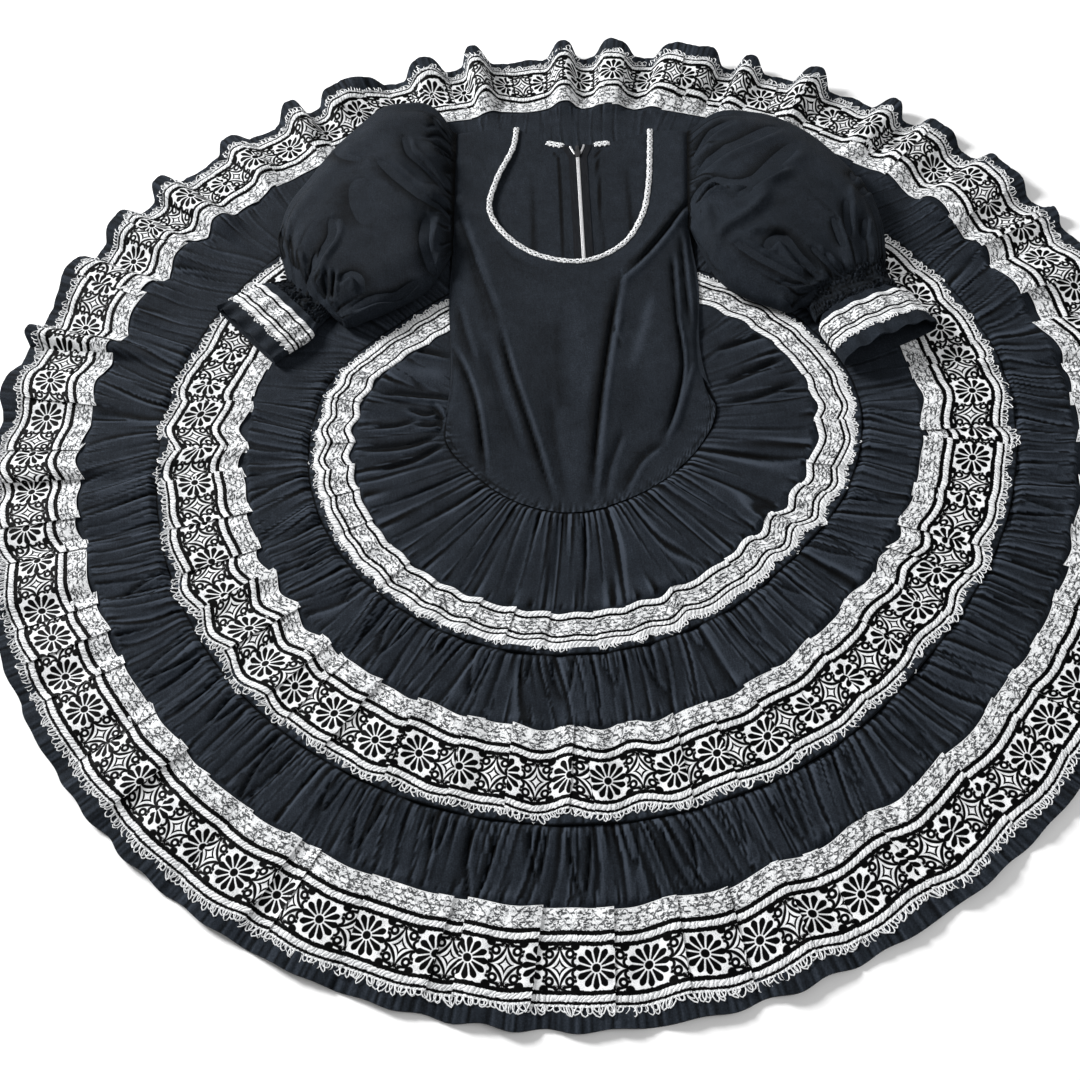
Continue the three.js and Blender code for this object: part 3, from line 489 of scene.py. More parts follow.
def drawn_folds(x, y, folds, strength=1.0):
    """Height and painted shade of drawn folds.

    A trough is -depth * exp(-(distance / (0.75 width))^2), with a ridge half as high beyond it, away
    from the window, that catches the light and gets a painted highlight. Its painted shade is a narrow
    core with a soft shade on the window's side. A fold that stands up has no core and is painted
    lighter instead. All fade at their ends.
    """
    height = np.zeros_like(x)
    dark = np.zeros_like(x)
    for width, drawn, *line in folds:
        depth = FOLD_DEPTH * strength * drawn
        distance, along = near_line(x, y, np.reshape(line, (-1, 2)))
        ends = smooth(along, -0.12, 0.22) * (1 - smooth(along, 0.72, 1.08))
        near = np.exp(-(distance / (0.75 * width)) ** 2) * ends
        ridge = np.exp(-((distance - 1.7 * width) / (0.9 * width)) ** 2) * ends
        height = height - depth * near + (0.5 if depth > 0 else 0.1) * depth * ridge
        if depth > 0:
            core = np.exp(-np.abs(distance / (0.42 * width)) ** 1.5) * ends
            shade = np.exp(-((distance + 0.9 * width) / (1.3 * width + 1.5)) ** 2) * ends
            # painted highlight on the ridge beyond the trough
            dark = stronger(dark, -0.45 * min(1, depth / 4) * ridge)
            # painted shade in the core and on the window's side
            dark = stronger(dark, min(1, depth / 4) * np.maximum(core, 0.42 * shade))
        else:
            # painted highlight along a fold that stands up
            dark = dark - 0.35 * near * (dark < 0.1)
    return height, dark


def tier_rings(name, direction):
    """Radii of a tier's inner seam, its braid's inner and outer edge, and its outer seam or hem."""
    tier = TIERS[name]
    inner = skirt_value(tier["inner"], direction) + SEAM_GAP / 2
    outer = skirt_value(tier["outer"], direction) - (0 if tier["outer"] == "hem" else SEAM_GAP / 2)
    braid_outer = outer - tier["braid_inset"]
    return inner, braid_outer - tier["braid_width"], braid_outer, outer


def wave_places(direction, waves):
    """The number of the coarse wave at each direction, and the place within it from 0 to 1. Two
    sines make the back's waves unevenly wide."""
    back = np.mod(direction, 360) < 180
    turn = np.mod(direction, 180) / 180
    uneven_turn = turn + 0.0065 * np.sin(18 * math.pi * turn) + 0.0045 * np.sin(34 * math.pi * turn)
    phase = np.where(back, uneven_turn, turn) * waves / 2
    wave = np.floor(phase)
    return wave + np.where(back, 0, 180), phase - wave


def wave_forms(number, inside):
    """Two forms of a wave, from 0 in its troughs to 1 on top: a broad one, 1 - |cos(pi inside)|^6,
    and a narrow one, a steep rise of sin(pi inside^lean), which stands as a round-topped fold."""
    broad = 1 - np.abs(np.cos(math.pi * inside)) ** 6
    lean = 0.5 + 0.12 * np.sin(3.1 * number) * np.sin(math.pi * inside)
    bell = np.sin(math.pi * np.clip(inside, 0, 1) ** (np.log(0.5) / np.log(lean)))
    narrow = 0.25 * np.clip(bell, 0, 1) ** 2 + 0.75 * smooth(bell, 0.5, 0.98)
    return broad, narrow


def hem_sway(direction, row, inside, form, lift, cover):
    """How far the hem's waves lean out, and how far the braid's inner edge is drawn in between them.

    High waves lean further, (form - 0.45) times their reach, over more of the tier's rows. The inner
    edge moves by |2 inside - 1|^2.5 and is back in place by row 2.8.
    """
    loose = mix(smooth(row, 2.6, 4), smooth(row, 2.1, 3.6), smooth(lift, 7, 13)) * (1 - 0.7 * cover)
    reach = np.clip(lift / 4, 0, 1.6) + 0.95 * np.clip(lift - 7, 0, 12)
    outward = (form - 0.45) * reach + 1.3 * ripple(np.radians(direction), 68, 33)
    corner = (2 * np.abs(inside - 0.5)) ** 2.5
    inward = (corner - 0.3) * np.clip(lift - 8, 0, 10) * smooth(row, 1.5, 2.0)
    inward = inward * (1 - smooth(row, 2.05, 2.8)) * (1 - cover)
    return outward * loose, inward


# Shares of the waves' height at rows 1 to 4 of a tier, and of the hem's lift at rows 0 to 4
WAVE_SHARES = [0.8, 0.85, 0.9, 1]
HEM_LIFTS = [0, 0.3, 0.95, 1.15, 1.3]
SEAM_SHARE = 0.75  # the waves' height at a seam between two tiers


def tier_form(name, direction, row):
    """Plan place and height of a tier's upper side, how much it is pressed, and the distances from
    the seam and to the braid.

    row runs from 0 at the top seam, over 1 and 2, the braid's inner edge, and 3, its outer edge,
    to 4 at the lower edge. Low waves have broad tops. High ones at the back stand as narrow folds
    and lean out at the hem.
    """
    tier = TIERS[name]
    hem = tier["outer"] == "hem"
    inner, braid_inner, braid_outer, outer = tier_rings(name, direction)
    knots = np.stack([inner, mix(inner, braid_inner, 0.45), braid_inner, braid_outer, outer])
    part = np.clip(np.floor(row), 0, 3).astype(int)
    low = np.take_along_axis(knots, part[None], axis=0)[0]
    high = np.take_along_axis(knots, part[None] + 1, axis=0)[0]
    radius = mix(low, high, row - part)
    seam_share = SEAM_WAVE / tier["gather"] if tier["inner"] == "waist" else SEAM_SHARE
    share = np.interp(row, range(5), [seam_share, *WAVE_SHARES])
    lifts = np.interp(row, range(5), HEM_LIFTS)
    number, inside = wave_places(direction, tier["waves"])
    uneven = 0.8 + 0.14 * np.sin(2.4 * number) + 0.06 * np.sin(5.3 * number + 1)
    broad, narrow = wave_forms(number, inside)
    lift = skirt_value("lift", direction) if hem else np.full_like(direction, tier["gather"])
    form = mix(broad, narrow, smooth(lift, 7, 15))
    free = np.where(hem, np.maximum(tier["gather"] * share, lift * lifts), lift * share) * uneven
    place = polar(direction, radius)
    cover = cover_share(place[..., 0], place[..., 1])
    height = mix(free, np.minimum(free, FLAT_WAVE), cover) * form
    if hem:
        outward, inward = hem_sway(direction, row, inside, form, lift, cover)
        place = place + polar(direction, 1.0) * outward[..., None]
        place = place - polar(direction, 1.0) * inward[..., None]
    return place, CLOTH + height, cover, radius - inner, braid_inner - radius


# Rows of each tier's mesh between its rows 0 to 4, and millimetres between its columns
TIER_ROWS = {"tier1": (20, 14, 4, 5), "tier2": (18, 14, 7, 6), "tier3": (18, 13, 7, 8)}
TIER_SPACING = 2.2
# The underside's rows, as shares of the way from the seam to the lower edge
UNDER_ROWS = [0, 0.05, 0.2, 0.36, 0.52, 0.66, 0.78, 0.88, 0.96, 1]


def gather_relief(name, direction, row, from_seam, to_braid):
    """Height and painted shade, with painted highlights below 0, of a tier's gathers: down from the seam,
    slanted a little, shorter ones up from the braid, and small ones from the braid to the lower edge."""
    tier = TIERS[name]
    seed = tier["seed"]
    middle_radius = float(skirt_value(tier["outer"], 270.0)) * 0.82
    seam_radius = float(skirt_value(tier["inner"], 270.0))
    angle = np.radians(direction)
    slant = 0.14 * ripple(angle, 9, seed) + 0.045 * ripple(angle, 27, seed + 1)
    bent = angle + slant * from_seam / middle_radius + 0.004 * np.sin(from_seam / 23 + 6 * angle)
    spread = 1 + from_seam / seam_radius
    rise, dark = pleats(bent, from_seam, tier["spacing"], seam_radius, seed, 1.0, spread)
    rise = rise * smooth(from_seam, 0, 9)
    bent = angle - slant * to_braid / middle_radius
    up_rise, up_dark = pleats(bent, np.abs(to_braid), 1.35, seam_radius * 1.3, seed + 2, 0.34)
    above = (to_braid > 0) * smooth(to_braid, 0, 5)
    rise = np.maximum(rise, 0.9 * up_rise * above)
    dark = stronger(dark, 0.9 * up_dark * above)
    from_edge = np.where(row > 3, (4 - row) * 14, 99)
    edge_rise, edge_dark = pleats(angle, from_edge, 1.0, middle_radius * 1.2, seed + 4, 0.9)
    inside = row < 2.5
    return np.where(inside, rise, 0.35 * edge_rise), np.where(inside, dark, 0.45 * edge_dark)


def underside(top, lowest):
    """The underside at UNDER_ROWS of a grid. Its steps are long, so each place takes the lowest
    height on the steps before and after it, and stays on or above the floor."""
    picked = np.round(np.array(UNDER_ROWS) * (top.shape[1] - 1)).astype(int)
    under = top[:, picked].copy()
    for k in range(len(picked) - 1):
        under[:, k, 2] = lowest[:, picked[max(k - 1, 0)]:picked[k + 1] + 1].min(axis=1)
    under[:, -1, 2] = lowest[:, -1]
    under[..., 2] = np.maximum(under[..., 2], 0)
    return under


def make_tier(name, half, material):
    """One half of a tier as a thin shell: fine gathers on the upper side, a plain underside."""
    tier = TIERS[name]
    first = 180 if half == "front" else 0
    middle_radius = float(skirt_value(tier["outer"], 270.0)) * 0.82
    columns = int(math.pi * middle_radius / TIER_SPACING)
    row_line = [np.linspace(k, k + 1, n, endpoint=False) for k, n in enumerate(TIER_ROWS[name])]
    margin = 0.02
    around = np.linspace(first + margin, first + 180 - margin, columns)
    direction, row = np.meshgrid(around, np.concatenate([*row_line, [4.0]]), indexing="ij")
    place, height, cover, from_seam, to_braid = tier_form(name, direction, row)
    rise, dark = gather_relief(name, direction, row, from_seam, to_braid)
    bare = np.where(row < 2, 1 - smooth(row, 1.93, 2.0), smooth(row, 3.0, 3.12))
    press = 1 - 0.75 * cover
    drawn = TIER_FOLDS if name == "tier1" else v_folds(name) if half == "front" else []
    folds, fold_dark = drawn_folds(place[..., 0], place[..., 1], drawn)
    top_height = height + (rise * press + folds * smooth(from_seam, 0, 10)) * bare
    # a painted highlight on the gathers' crests
    crest_highlight = np.clip(rise / 7, 0, 1) ** 1.4 * bare * press
    # painted shade of the gathers and the drawn folds, lighter where pressed flat, none under the braid
    dark = stronger(dark * mix(tier["gather_shade"], 0.4, cover), fold_dark) * bare
    # the cloth dips into its seams, and further down under the braid, where none of it shows. seam_dark
    # is also painted shade, down in the seam and along the lower edge where the next tier is sewn on
    seam_dark = 0.65 * np.exp(-(from_seam / 0.8) ** 2)
    if tier["outer"] != "hem":
        seam_dark = np.maximum(seam_dark, 0.45 * smooth(row, 3.93, 4.0))
        top_height = top_height + 0.5 * smooth(row, 3.4, 3.7) * (1 - smooth(row, 3.9, 4.0))
    width = tier["braid_width"]
    in_braid = (row - 2) * width
    hidden = smooth(in_braid, 6, 12) * (1 - smooth(in_braid, width - 12, width - 6))
    top_height = np.maximum(top_height - 0.6 * seam_dark - 2.0 * hidden, 0.6)
    # the seam allowance runs on under the piece above
    far = np.linalg.norm(place[:, :1], axis=-1, keepdims=True)
    reaches, level = (6, 0.05), 0.5
    if name == "tier1" and half == "back":
        reaches, level = (14, 7), 1.5
        top_height[:, 0] = np.minimum(top_height[:, 0], 1.9)
    place = np.concatenate([place[:, :1] * (1 - reach / far) for reach in reaches] + [place], axis=1)
    top_height = np.concatenate([np.full((columns, 2), level), top_height], axis=1)
    dark, seam_dark, crest_highlight, height, direction, from_seam = (
        np.concatenate([values[:, :1], values[:, :1], values], axis=1)
        for values in (dark, seam_dark, crest_highlight, height, direction, from_seam))
    top = raised(place, top_height)
    under = underside(top, np.minimum(height - CLOTH - 0.2, top_height - SHELL))
    # the painted shading: painted shade in folds and seams, otherwise painted highlights below 0 on lit folds
    # and crests
    shade = np.maximum(dark, seam_dark)
    tone = np.where(shade > 0.04, shade, np.minimum(dark, 0) - 0.35 * crest_highlight)
    uv = together(np.radians(direction) * middle_radius, from_seam)
    piece = shell(f"{name}_{half}", top, under, uv=uv, painted_shading=tone, under_rows=UNDER_ROWS)
    return finish_piece(piece, material, [f"{name}_{half}"])


# Braid

# Rows across the braids, from the inner edge: where each lies and how it is raised. Flat ribbons lie
# between lines of black, and the cords are round.
WIDE_CORDS = [(28.5, 3.9, 1.0), (82.5, 3.9, 1.0), (89.0, 1.6, 0.8)]  # middle, half width, height
WIDE_ROWS = [0, 0.8, 7, 14, 21, 23.5, 24.7, 26, 28.5, 31, 32.3, 33.6, 41, 48, 55, 62, 69, 76.4, 78.7, 80,
             82.5, 85, 86.3, 87.4, 89, 90]
NARROW_CORDS = [(3.6, 3.4, 0.9), (30.5, 2.0, 0.7), (37.0, 2.6, 0.8)]
NARROW_ROWS = [0, 0.6, 2, 3.6, 5.2, 6.9, 8.4, 14, 20, 26.4, 28.6, 30.5, 32.4, 34.4, 35.6, 37, 38.6, 40, 42]

# Each ring's braid: the length between tucks, how much hides in one (from, to), how far they slide it
# in or out, and the size of the thread loops on its edge
RING_BRAIDS = {
    "tier1": dict(rows=NARROW_ROWS, cords=NARROW_CORDS, seed=11, pitch=46, overlap=(-5, -1), shift=0.9,
                  narrower=0.8, loops=4.8),
    "tier2": dict(rows=WIDE_ROWS, cords=WIDE_CORDS, seed=12, pitch=58, overlap=(0, 8), shift=1.4,
                  narrower=2.6, loops=7.4),
    "tier3": dict(rows=WIDE_ROWS, cords=WIDE_CORDS, seed=13, pitch=62, overlap=(0, 10), shift=1.6,
                  narrower=2.6, loops=7.8),
}
BRAID_START = 92.0  # degrees: the braid's ends meet at the centre back, under the bodice
BRAID_STEP = 4.0  # millimetres of braid between two columns of its mesh
BRAID_THICKNESS = 0.5
LAYER = 0.8  # one layer of a tuck
THREAD = 0.6  # half the width of the loops' thread
RING_LOOP_SPACING, CUFF_LOOP_SPACING, CUFF_LOOP = 4.1, 4.6, 4.4


def cord_height(across, cords):
    """Raised round cords: height * sqrt(1 - ((across - middle) / half width)^2)"""
    total = np.zeros_like(across)
    for middle, half, height in cords:
        total = np.maximum(total, height * np.sqrt(np.clip(1 - ((across - middle) / half) ** 2, 0, 1)))
    return total


def tucked_rings(name):
    """Columns of a flat braid that is folded into a tuck every few centimetres to go round a ring.

    Each stretch keeps its woven length at every row, so more of it hides in the tuck at the inner
    edge: overlap(r) = stretch / r - angle, half on each side. At a tuck the braid runs back over or
    under itself, one layer up or down. Returns directions and places along, by column and row, each
    column's layer, shift and stretch number (-1 inside a tuck), and the tucks' directions.
    """
    tier, braid = TIERS[name], RING_BRAIDS[name]
    outer = float(skirt_value(tier["outer"], 270.0)) - tier["braid_inset"]
    across = np.array(braid["rows"], dtype=float)
    radius = outer - across[-1] + across
    rng = np.random.default_rng(braid["seed"])
    count = int(2 * math.pi * outer / braid["pitch"])
    bounds = BRAID_START + 0.05 + np.linspace(0, 359.9, count + 1)
    bounds[1:-1] += rng.uniform(-0.3, 0.3, count - 1) * 360 / count
    angles = np.diff(bounds)
    extra = rng.uniform(*braid["overlap"], count)
    woven = np.radians(angles) * outer + extra
    hidden = np.degrees(woven[:, None] / radius[None]) - angles[:, None]
    fold = np.zeros((count + 1, len(across)))
    fold[1:-1] = (hidden[:-1] + hidden[1:]) / 2
    starts = rng.uniform(-1, 1, count) * braid["shift"]
    ends = rng.uniform(-1, 1, count) * braid["shift"]
    directions, along, layers, moved, stretch = [], [], [], [], []
    place, level = 0.0, 0.0
    for k in range(count):
        steps = max(6, int(woven[k] / BRAID_STEP))
        share = np.linspace(0, 1, steps)
        low, high = bounds[k] - fold[k] / 2, bounds[k + 1] + fold[k + 1] / 2
        directions.append(mix(low[None], high[None], share[:, None]))
        along.append(np.repeat((place + share * woven[k])[:, None], len(across), axis=1))
        end_level = 2.0 if rng.random() < 0.65 else 0.0
        layers.append(np.where(share < 0.5, mix(level, 0.0, smooth(share, 0.1, 0.5)),
                               mix(0.0, end_level, smooth(share, 0.72, 0.94))))
        moved.append(mix(starts[k], ends[k], share) + 1.6 * np.sin(math.pi * share))
        stretch.append(np.full(steps, k))
        place += woven[k]
        if k < count - 1:
            back = bounds[k + 1] - fold[k + 1] / 2
            reversed_length = np.radians(fold[k + 1]) * radius
            directions.append(mix(high, back, 0.5)[None])
            along.append((place + reversed_length / 2)[None])
            layers.append(np.array([1.0]))
            moved.append(np.array([(ends[k] + starts[k + 1]) / 2]))
            stretch.append(np.array([-1]))
            place += float(reversed_length.mean())
            level = 2.0 - end_level
    return [np.concatenate(parts) for parts in (directions, along, layers, moved, stretch)] + [bounds]


def braid_row(name, direction, across):
    """The row of a tier's form at a distance out from the braid's inner edge."""
    tier = TIERS[name]
    width = tier["braid_width"]
    inner, braid_inner, _, _ = tier_rings(name, direction)
    before = 0.55 * (braid_inner - inner)
    beyond = 3 + (across - width) / tier["braid_inset"]
    return np.where(across < 0, 2 + across / before, np.where(across > width, beyond, 2 + across / width))


def make_ring_braid(name, material):
    """A tier's braid, laid on the tier's form and folded into tucks, with its raised cords. Also the
    places along its outer edge, and the ways out there, for the loops of thread.

    It slides in and out at its tucks by their shift, up to 1 + narrower times as far at the sides.
    """
    braid = RING_BRAIDS[name]
    rows = braid["rows"]
    direction, along, layer, moved, stretch, bounds = tucked_rings(name)
    across = np.broadcast_to(np.array(rows, dtype=float), direction.shape)
    flat_place = tier_form(name, direction, 2 + across / rows[-1])[0]
    cover = cover_share(flat_place[..., 0], flat_place[..., 1])
    turned = np.mod(direction + 60, 360) - 60
    sides = np.exp(-((turned - 12) / 42) ** 2) + np.exp(-((turned - 178) / 42) ** 2)
    sway = 2.2 * ripple(np.radians(direction), 40, braid["seed"] + 7)
    slid = (moved[:, None] * (1 + braid["narrower"] * sides) + sway) * (1 - 0.6 * cover)
    tier_row = np.minimum(braid_row(name, direction, across + slid), 4)
    place, height, cover, _, _ = tier_form(name, direction, tier_row)
    level = LAYER * layer[:, None] * (1 - 0.75 * cover)
    base = height + LAY_GAP + 0.45 + level
    upper = base + BRAID_THICKNESS + cord_height(across, braid["cords"]) * (1 - 0.45 * cover)
    top = raised(place, upper)
    picked = np.array([0, len(rows) // 2, len(rows) - 1])
    under = top[:, picked].copy()
    under[..., 2] = base[:, picked]
    piece = shell(f"{name}_braid_band", top, under, uv=together(along, across))
    finish_piece(piece, material, [f"{name}_braid"])
    at = direction[:, -1]
    shown = (stretch >= 0) & (at >= bounds[stretch]) & (at <= bounds[stretch + 1])
    return piece, top[shown, -1], polar(at[shown], 1.0)


def make_picots(name, edge, outward, spacing, size, seed, material):
    """Loops of thread along an edge.

    Each is an arch from a point on the edge, size * (cos a, sin a) in the floor's plane with a from
    -35 to 215 degrees, leaned and stretched at random, and a four-sided thread follows it.
    """
    rng = np.random.default_rng(seed)
    gaps = np.linalg.norm(np.diff(edge, axis=0), axis=1)
    gaps = np.where(gaps > 12, 0, gaps)  # the jumps where a tuck hides the edge
    length = np.concatenate([[0], np.cumsum(gaps)])
    count = int(length[-1] / spacing)
    at = (np.arange(count) + rng.uniform(0.1, 0.9, count)) * spacing
    root = together(*[np.interp(at, length, edge[:, k]) for k in range(3)])
    out = together(*[np.interp(at, length, outward[:, k]) for k in range(2)])
    out /= np.linalg.norm(out, axis=1)[:, None]
    side = together(-out[:, 1], out[:, 0])
    lean = rng.normal(0, 0.45, count)
    reach = size * rng.uniform(0.55, 1.25, count)
    half = size * rng.uniform(0.28, 0.5, count)
    angle = np.radians(np.linspace(-35, 215, 7))
    x = half[:, None] * np.cos(angle)
    y = reach[:, None] * (0.32 + 0.68 * np.sin(angle)) - 0.6
    x = x + lean[:, None] * np.clip(y, 0, None)
    z = 0.5 + 0.6 * np.sin(angle + rng.uniform(0, 6, count)[:, None]) * (y / size)
    path = np.concatenate([
        root[:, None, :2] + side[:, None] * x[..., None] + out[:, None] * y[..., None],
        (root[:, None, 2] - 0.7 + z)[..., None],
    ], axis=-1)
    ahead = np.gradient(path, axis=1)
    ahead /= np.linalg.norm(ahead, axis=2)[..., None]
    up = np.array([0.0, 0.0, 1.0])
    wide = np.cross(ahead, up)
    wide /= np.linalg.norm(wide, axis=2)[..., None] + 1e-9
    ring = np.stack([path + THREAD * wide, path + THREAD * 0.8 * up,
                     path - THREAD * wide, path - THREAD * 0.8 * up], axis=2)
    steps, sides = ring.shape[1:3]
    loop = np.arange(count)[:, None, None] * steps * sides
    i = np.arange(steps - 1)[None, :, None] * sides
    k = np.arange(sides)[None, None, :]
    a, b = loop + i + k, loop + i + (k + 1) % sides
    quads = together(a, b, b + sides, a + sides).reshape(-1, 4)
    ends = np.arange(count)[:, None] * steps * sides
    caps = np.concatenate([ends + np.array([3, 2, 1, 0]), ends + (steps - 1) * sides + np.arange(4)])
    points = ring.reshape(-1, 3)
    piece = make_object(name, points, outward_quads(points, np.concatenate([quads, caps])))
    return finish_piece(piece, material, [])


# Bodice

def centre_back(y):
    """How far right the centre back line lies at a height up the bodice."""
    return mix(ZIP_BOTTOM[0], ZIP_SLIDER[0], (y - ZIP_BOTTOM[1]) / (ZIP_SLIDER[1] - ZIP_BOTTOM[1]))


def zip_opening(y):
    """How far each edge of the centre back stands off above the slider."""
    return ZIP_OPEN * smooth(y, ZIP_SLIDER[1] - 4, ZIP_TOP[1])


def back_seam_y(x):
    """Where the back waist seam lies: 80 - 56 across^2"""
    across = np.clip((x - 10) / 155, -1, 1)
    return 80 - 56 * across ** 2


def back_underside(x, y):
    """The back bodice's underside rises from the waist seam onto the skirt's braid, over 8 mm to
    80 mm from the seam."""
    return mix(CLOTH + SEAM_WAVE + LAY_GAP, BODICE_BASE, smooth(y - back_seam_y(x), 8, 80))


ARMHOLE_LIFT, LIFT_REACH = 5.8, 55


def armhole_lift(x, y):
    """The sleeves sewn into the armholes hold the front up, in the arch (2 sqrt(t (1 - t)))^0.8 over
    each armhole, and less with the distance from it."""
    total = np.zeros_like(x)
    for side in ("left", "right"):
        high, low = SLEEVES[side][0][0:2], SLEEVES[side][0][2:4]
        distance, along = along_segment(x, y, low, high)
        arch = (2 * np.sqrt(np.clip(along * (1 - along), 0, 1))) ** 0.8
        total = np.maximum(total, ARMHOLE_LIFT * arch * (1 - smooth(distance, 0, LIFT_REACH)))
    return total


SIDE_SHARES = np.linspace(0, 1, 200)
LEFT_EDGE, RIGHT_EDGE = side_line("left", SIDE_SHARES), side_line("right", SIDE_SHARES)
SEAM_DIRECTIONS = np.linspace(180, 360, 200)
FRONT_SEAM = polar(SEAM_DIRECTIONS, skirt_value("waist", SEAM_DIRECTIONS) - SEAM_GAP / 2)
TOP_Y = 500  # where the front's crown has come down to nothing


def sides_at(y):
    """How far across the bodice's left and right sides lie at a height up it."""
    return [np.interp(y, edge[:, 1], edge[:, 0]) for edge in (LEFT_EDGE, RIGHT_EDGE)]


def front_underside(x, y):
    """The front's underside: on the floor at the waist seam, then over the back bodice, with a crown
    2.9 (4 t (1 - t))^0.6 high between its sides, soft creases, and the armholes' lift."""
    left, right = sides_at(y)
    across = np.clip((x - left) / (right - left), 0, 1)
    seam_y = np.interp(x, FRONT_SEAM[:, 0], FRONT_SEAM[:, 1])
    v = np.clip((y - seam_y) / (TOP_Y - seam_y), 0, 1)
    crown = 2.9 * (4 * across * (1 - across)) ** 0.6 * (1 - smooth(v, 0.86, 1))
    on_back = back_underside(x, y) + CLOTH + 2 * LAY_GAP
    over_back = smooth(y, back_seam_y(x) - 90, back_seam_y(x) - 10)
    ridges = crease_height(x, y, FRONT_CREASES)
    return on_back * over_back + (crown + ridges) * smooth(v, 0, 0.2) + armhole_lift(x, y)


# Drawn folds of the bodice front and the sleeves: width, depth and the places of a line
FRONT_FOLDS = [
    (3.3, 3.6, -69, 148, -60, 72, -46, -10, -32, -106), (5, 2.0, -106, 353, -88, 250, -69, 148),
    (3.2, 3.6, -128, 130, -113, 80, -106, 32, -104, -63), (7, 1.2, -90, 130, -76, 40, -60, -40),
    (4, 3.2, 189, 330, 122, 245, 83, 206), (4.4, 3.8, 84, 212, 62, 130, 36, 23, 8, -112),
    (10, -2.0, 160, 300, 110, 235, 78, 190), (2.4, 3.2, 142, 150, 138, 62, 116, -6, 98, -39),
    (4, -2.0, 150, 60, 122, -10, 104, -42), (4, 2.6, 98, -42, 73, -60, 44, -104),
    (3, 2.6, 152, 238, 146, 180, 142, 130), (4, 1.4, -98, 290, -86, 200, -82, 150),
    (16, 0.8, 0, 170, -6, 90, -10, 10), (9, -1.4, 120, 180, 100, 120, 76, 60),
    (3, 2.4, 168, 270, 162, 200, 156, 120), (4, 1.8, -118, 200, -112, 150, -104, 100),
    (4, 1.6, 56, -20, 34, -70, 24, -108), (7, 1.0, -20, 40, -22, -30, -18, -110),
    (3, 1.4, 76, 150, 66, 128, 72, 96), (8, 0.8, -60, 300, -40, 262, -10, 240),
]
FRONT_STRENGTH, SLEEVE_STRENGTH = 0.72, 1.25


def front_detail(x, y):
    """Drawn folds and the short puckers above the waist seam, as height, painted shade with painted
    highlights below 0, and puckers.
    """
    lines, dark = drawn_folds(x, y, FRONT_FOLDS, FRONT_STRENGTH)
    radius = np.hypot(x, y)
    angle = np.arctan2(y, x)
    inside = np.clip(skirt_value("waist", np.degrees(angle)) - radius, 0, None)
    rise, pucker_dark = pleats(angle, inside, 0.8, 130, 91, 0.3)
    below = (y < 20) * np.exp(-(inside / 12) ** 1.5)
    stitched = np.exp(-((inside - 5.5) / 0.9) ** 2) * (y < 25)
    # painted shade of the drawn folds and the puckers, and a darker line along the seam's stitching
    dark = stronger(dark, stronger(0.9 * pucker_dark * below, 0.4 * stitched))
    return lines, dark, 0.3 * rise * below


def patch(bottom, top, left, right):
    """A patch between four edge lines, bottom and top along u and left and right along v:
    (1 - v) b + v t + (1 - u) l + u r, less what the four corners would give alone."""
    u = np.linspace(0, 1, len(bottom))[:, None, None]
    v = np.linspace(0, 1, len(left))[None, :, None]
    ruled = (1 - v) * bottom[:, None] + v * top[:, None] + (1 - u) * left[None] + u * right[None]
    corners = ((1 - u) * (1 - v) * bottom[0] + u * (1 - v) * bottom[-1]
               + (1 - u) * v * top[0] + u * v * top[-1])
    return ruled - corners


# The front's mesh: columns from a side to the middle, rows below and above the neck's lowest point,
# and the height on the side lines where the two meet
FRONT_ACROSS, FRONT_LOWER, FRONT_UPPER = 66, 100, 74
FRONT_LEVEL = 268.0


def front_half(side, edge, neck, lowest):
    """Plan places of one half of the front: a patch from the waist seam up to the level of the neck's
    lowest point, and a patch up beside the scoop."""
    cut = float(np.interp(FRONT_LEVEL, edge[:, 1], SIDE_SHARES))
    outer_low = side_line(side, np.linspace(0, cut, FRONT_LOWER))
    outer_high = side_line(side, np.linspace(cut, 1, FRONT_UPPER))
    inner_neck = neck[lowest::-1] if side == "left" else neck[lowest:]
    inner_high = smooth_line(inner_neck[::12], np.linspace(0, 1, FRONT_UPPER))
    inner_high[0] = neck[lowest]
    seam = np.linspace(180 if side == "left" else 360, 270, FRONT_ACROSS)
    seam_points = polar(seam, skirt_value("waist", seam) - SEAM_GAP / 2)
    across = np.linspace(0, 1, FRONT_ACROSS)[:, None]
    centre = mix(seam_points[-1], neck[lowest], np.linspace(0, 1, FRONT_LOWER)[:, None])
    middle = mix(outer_low[-1], neck[lowest], across)
    shoulder = mix(outer_high[-1], inner_high[-1], across)
    low = patch(seam_points, middle, outer_low, centre)
    high = patch(middle, shoulder, outer_high, inner_high)
    return np.concatenate([low, high[:, 1:]], axis=1)


def border_faces(a, b, under):
    """Quads from an edge's points a and b on the upper side to the points straight underneath, whose
    numbers are higher by under."""
    return together(a, b, b + under, a + under)


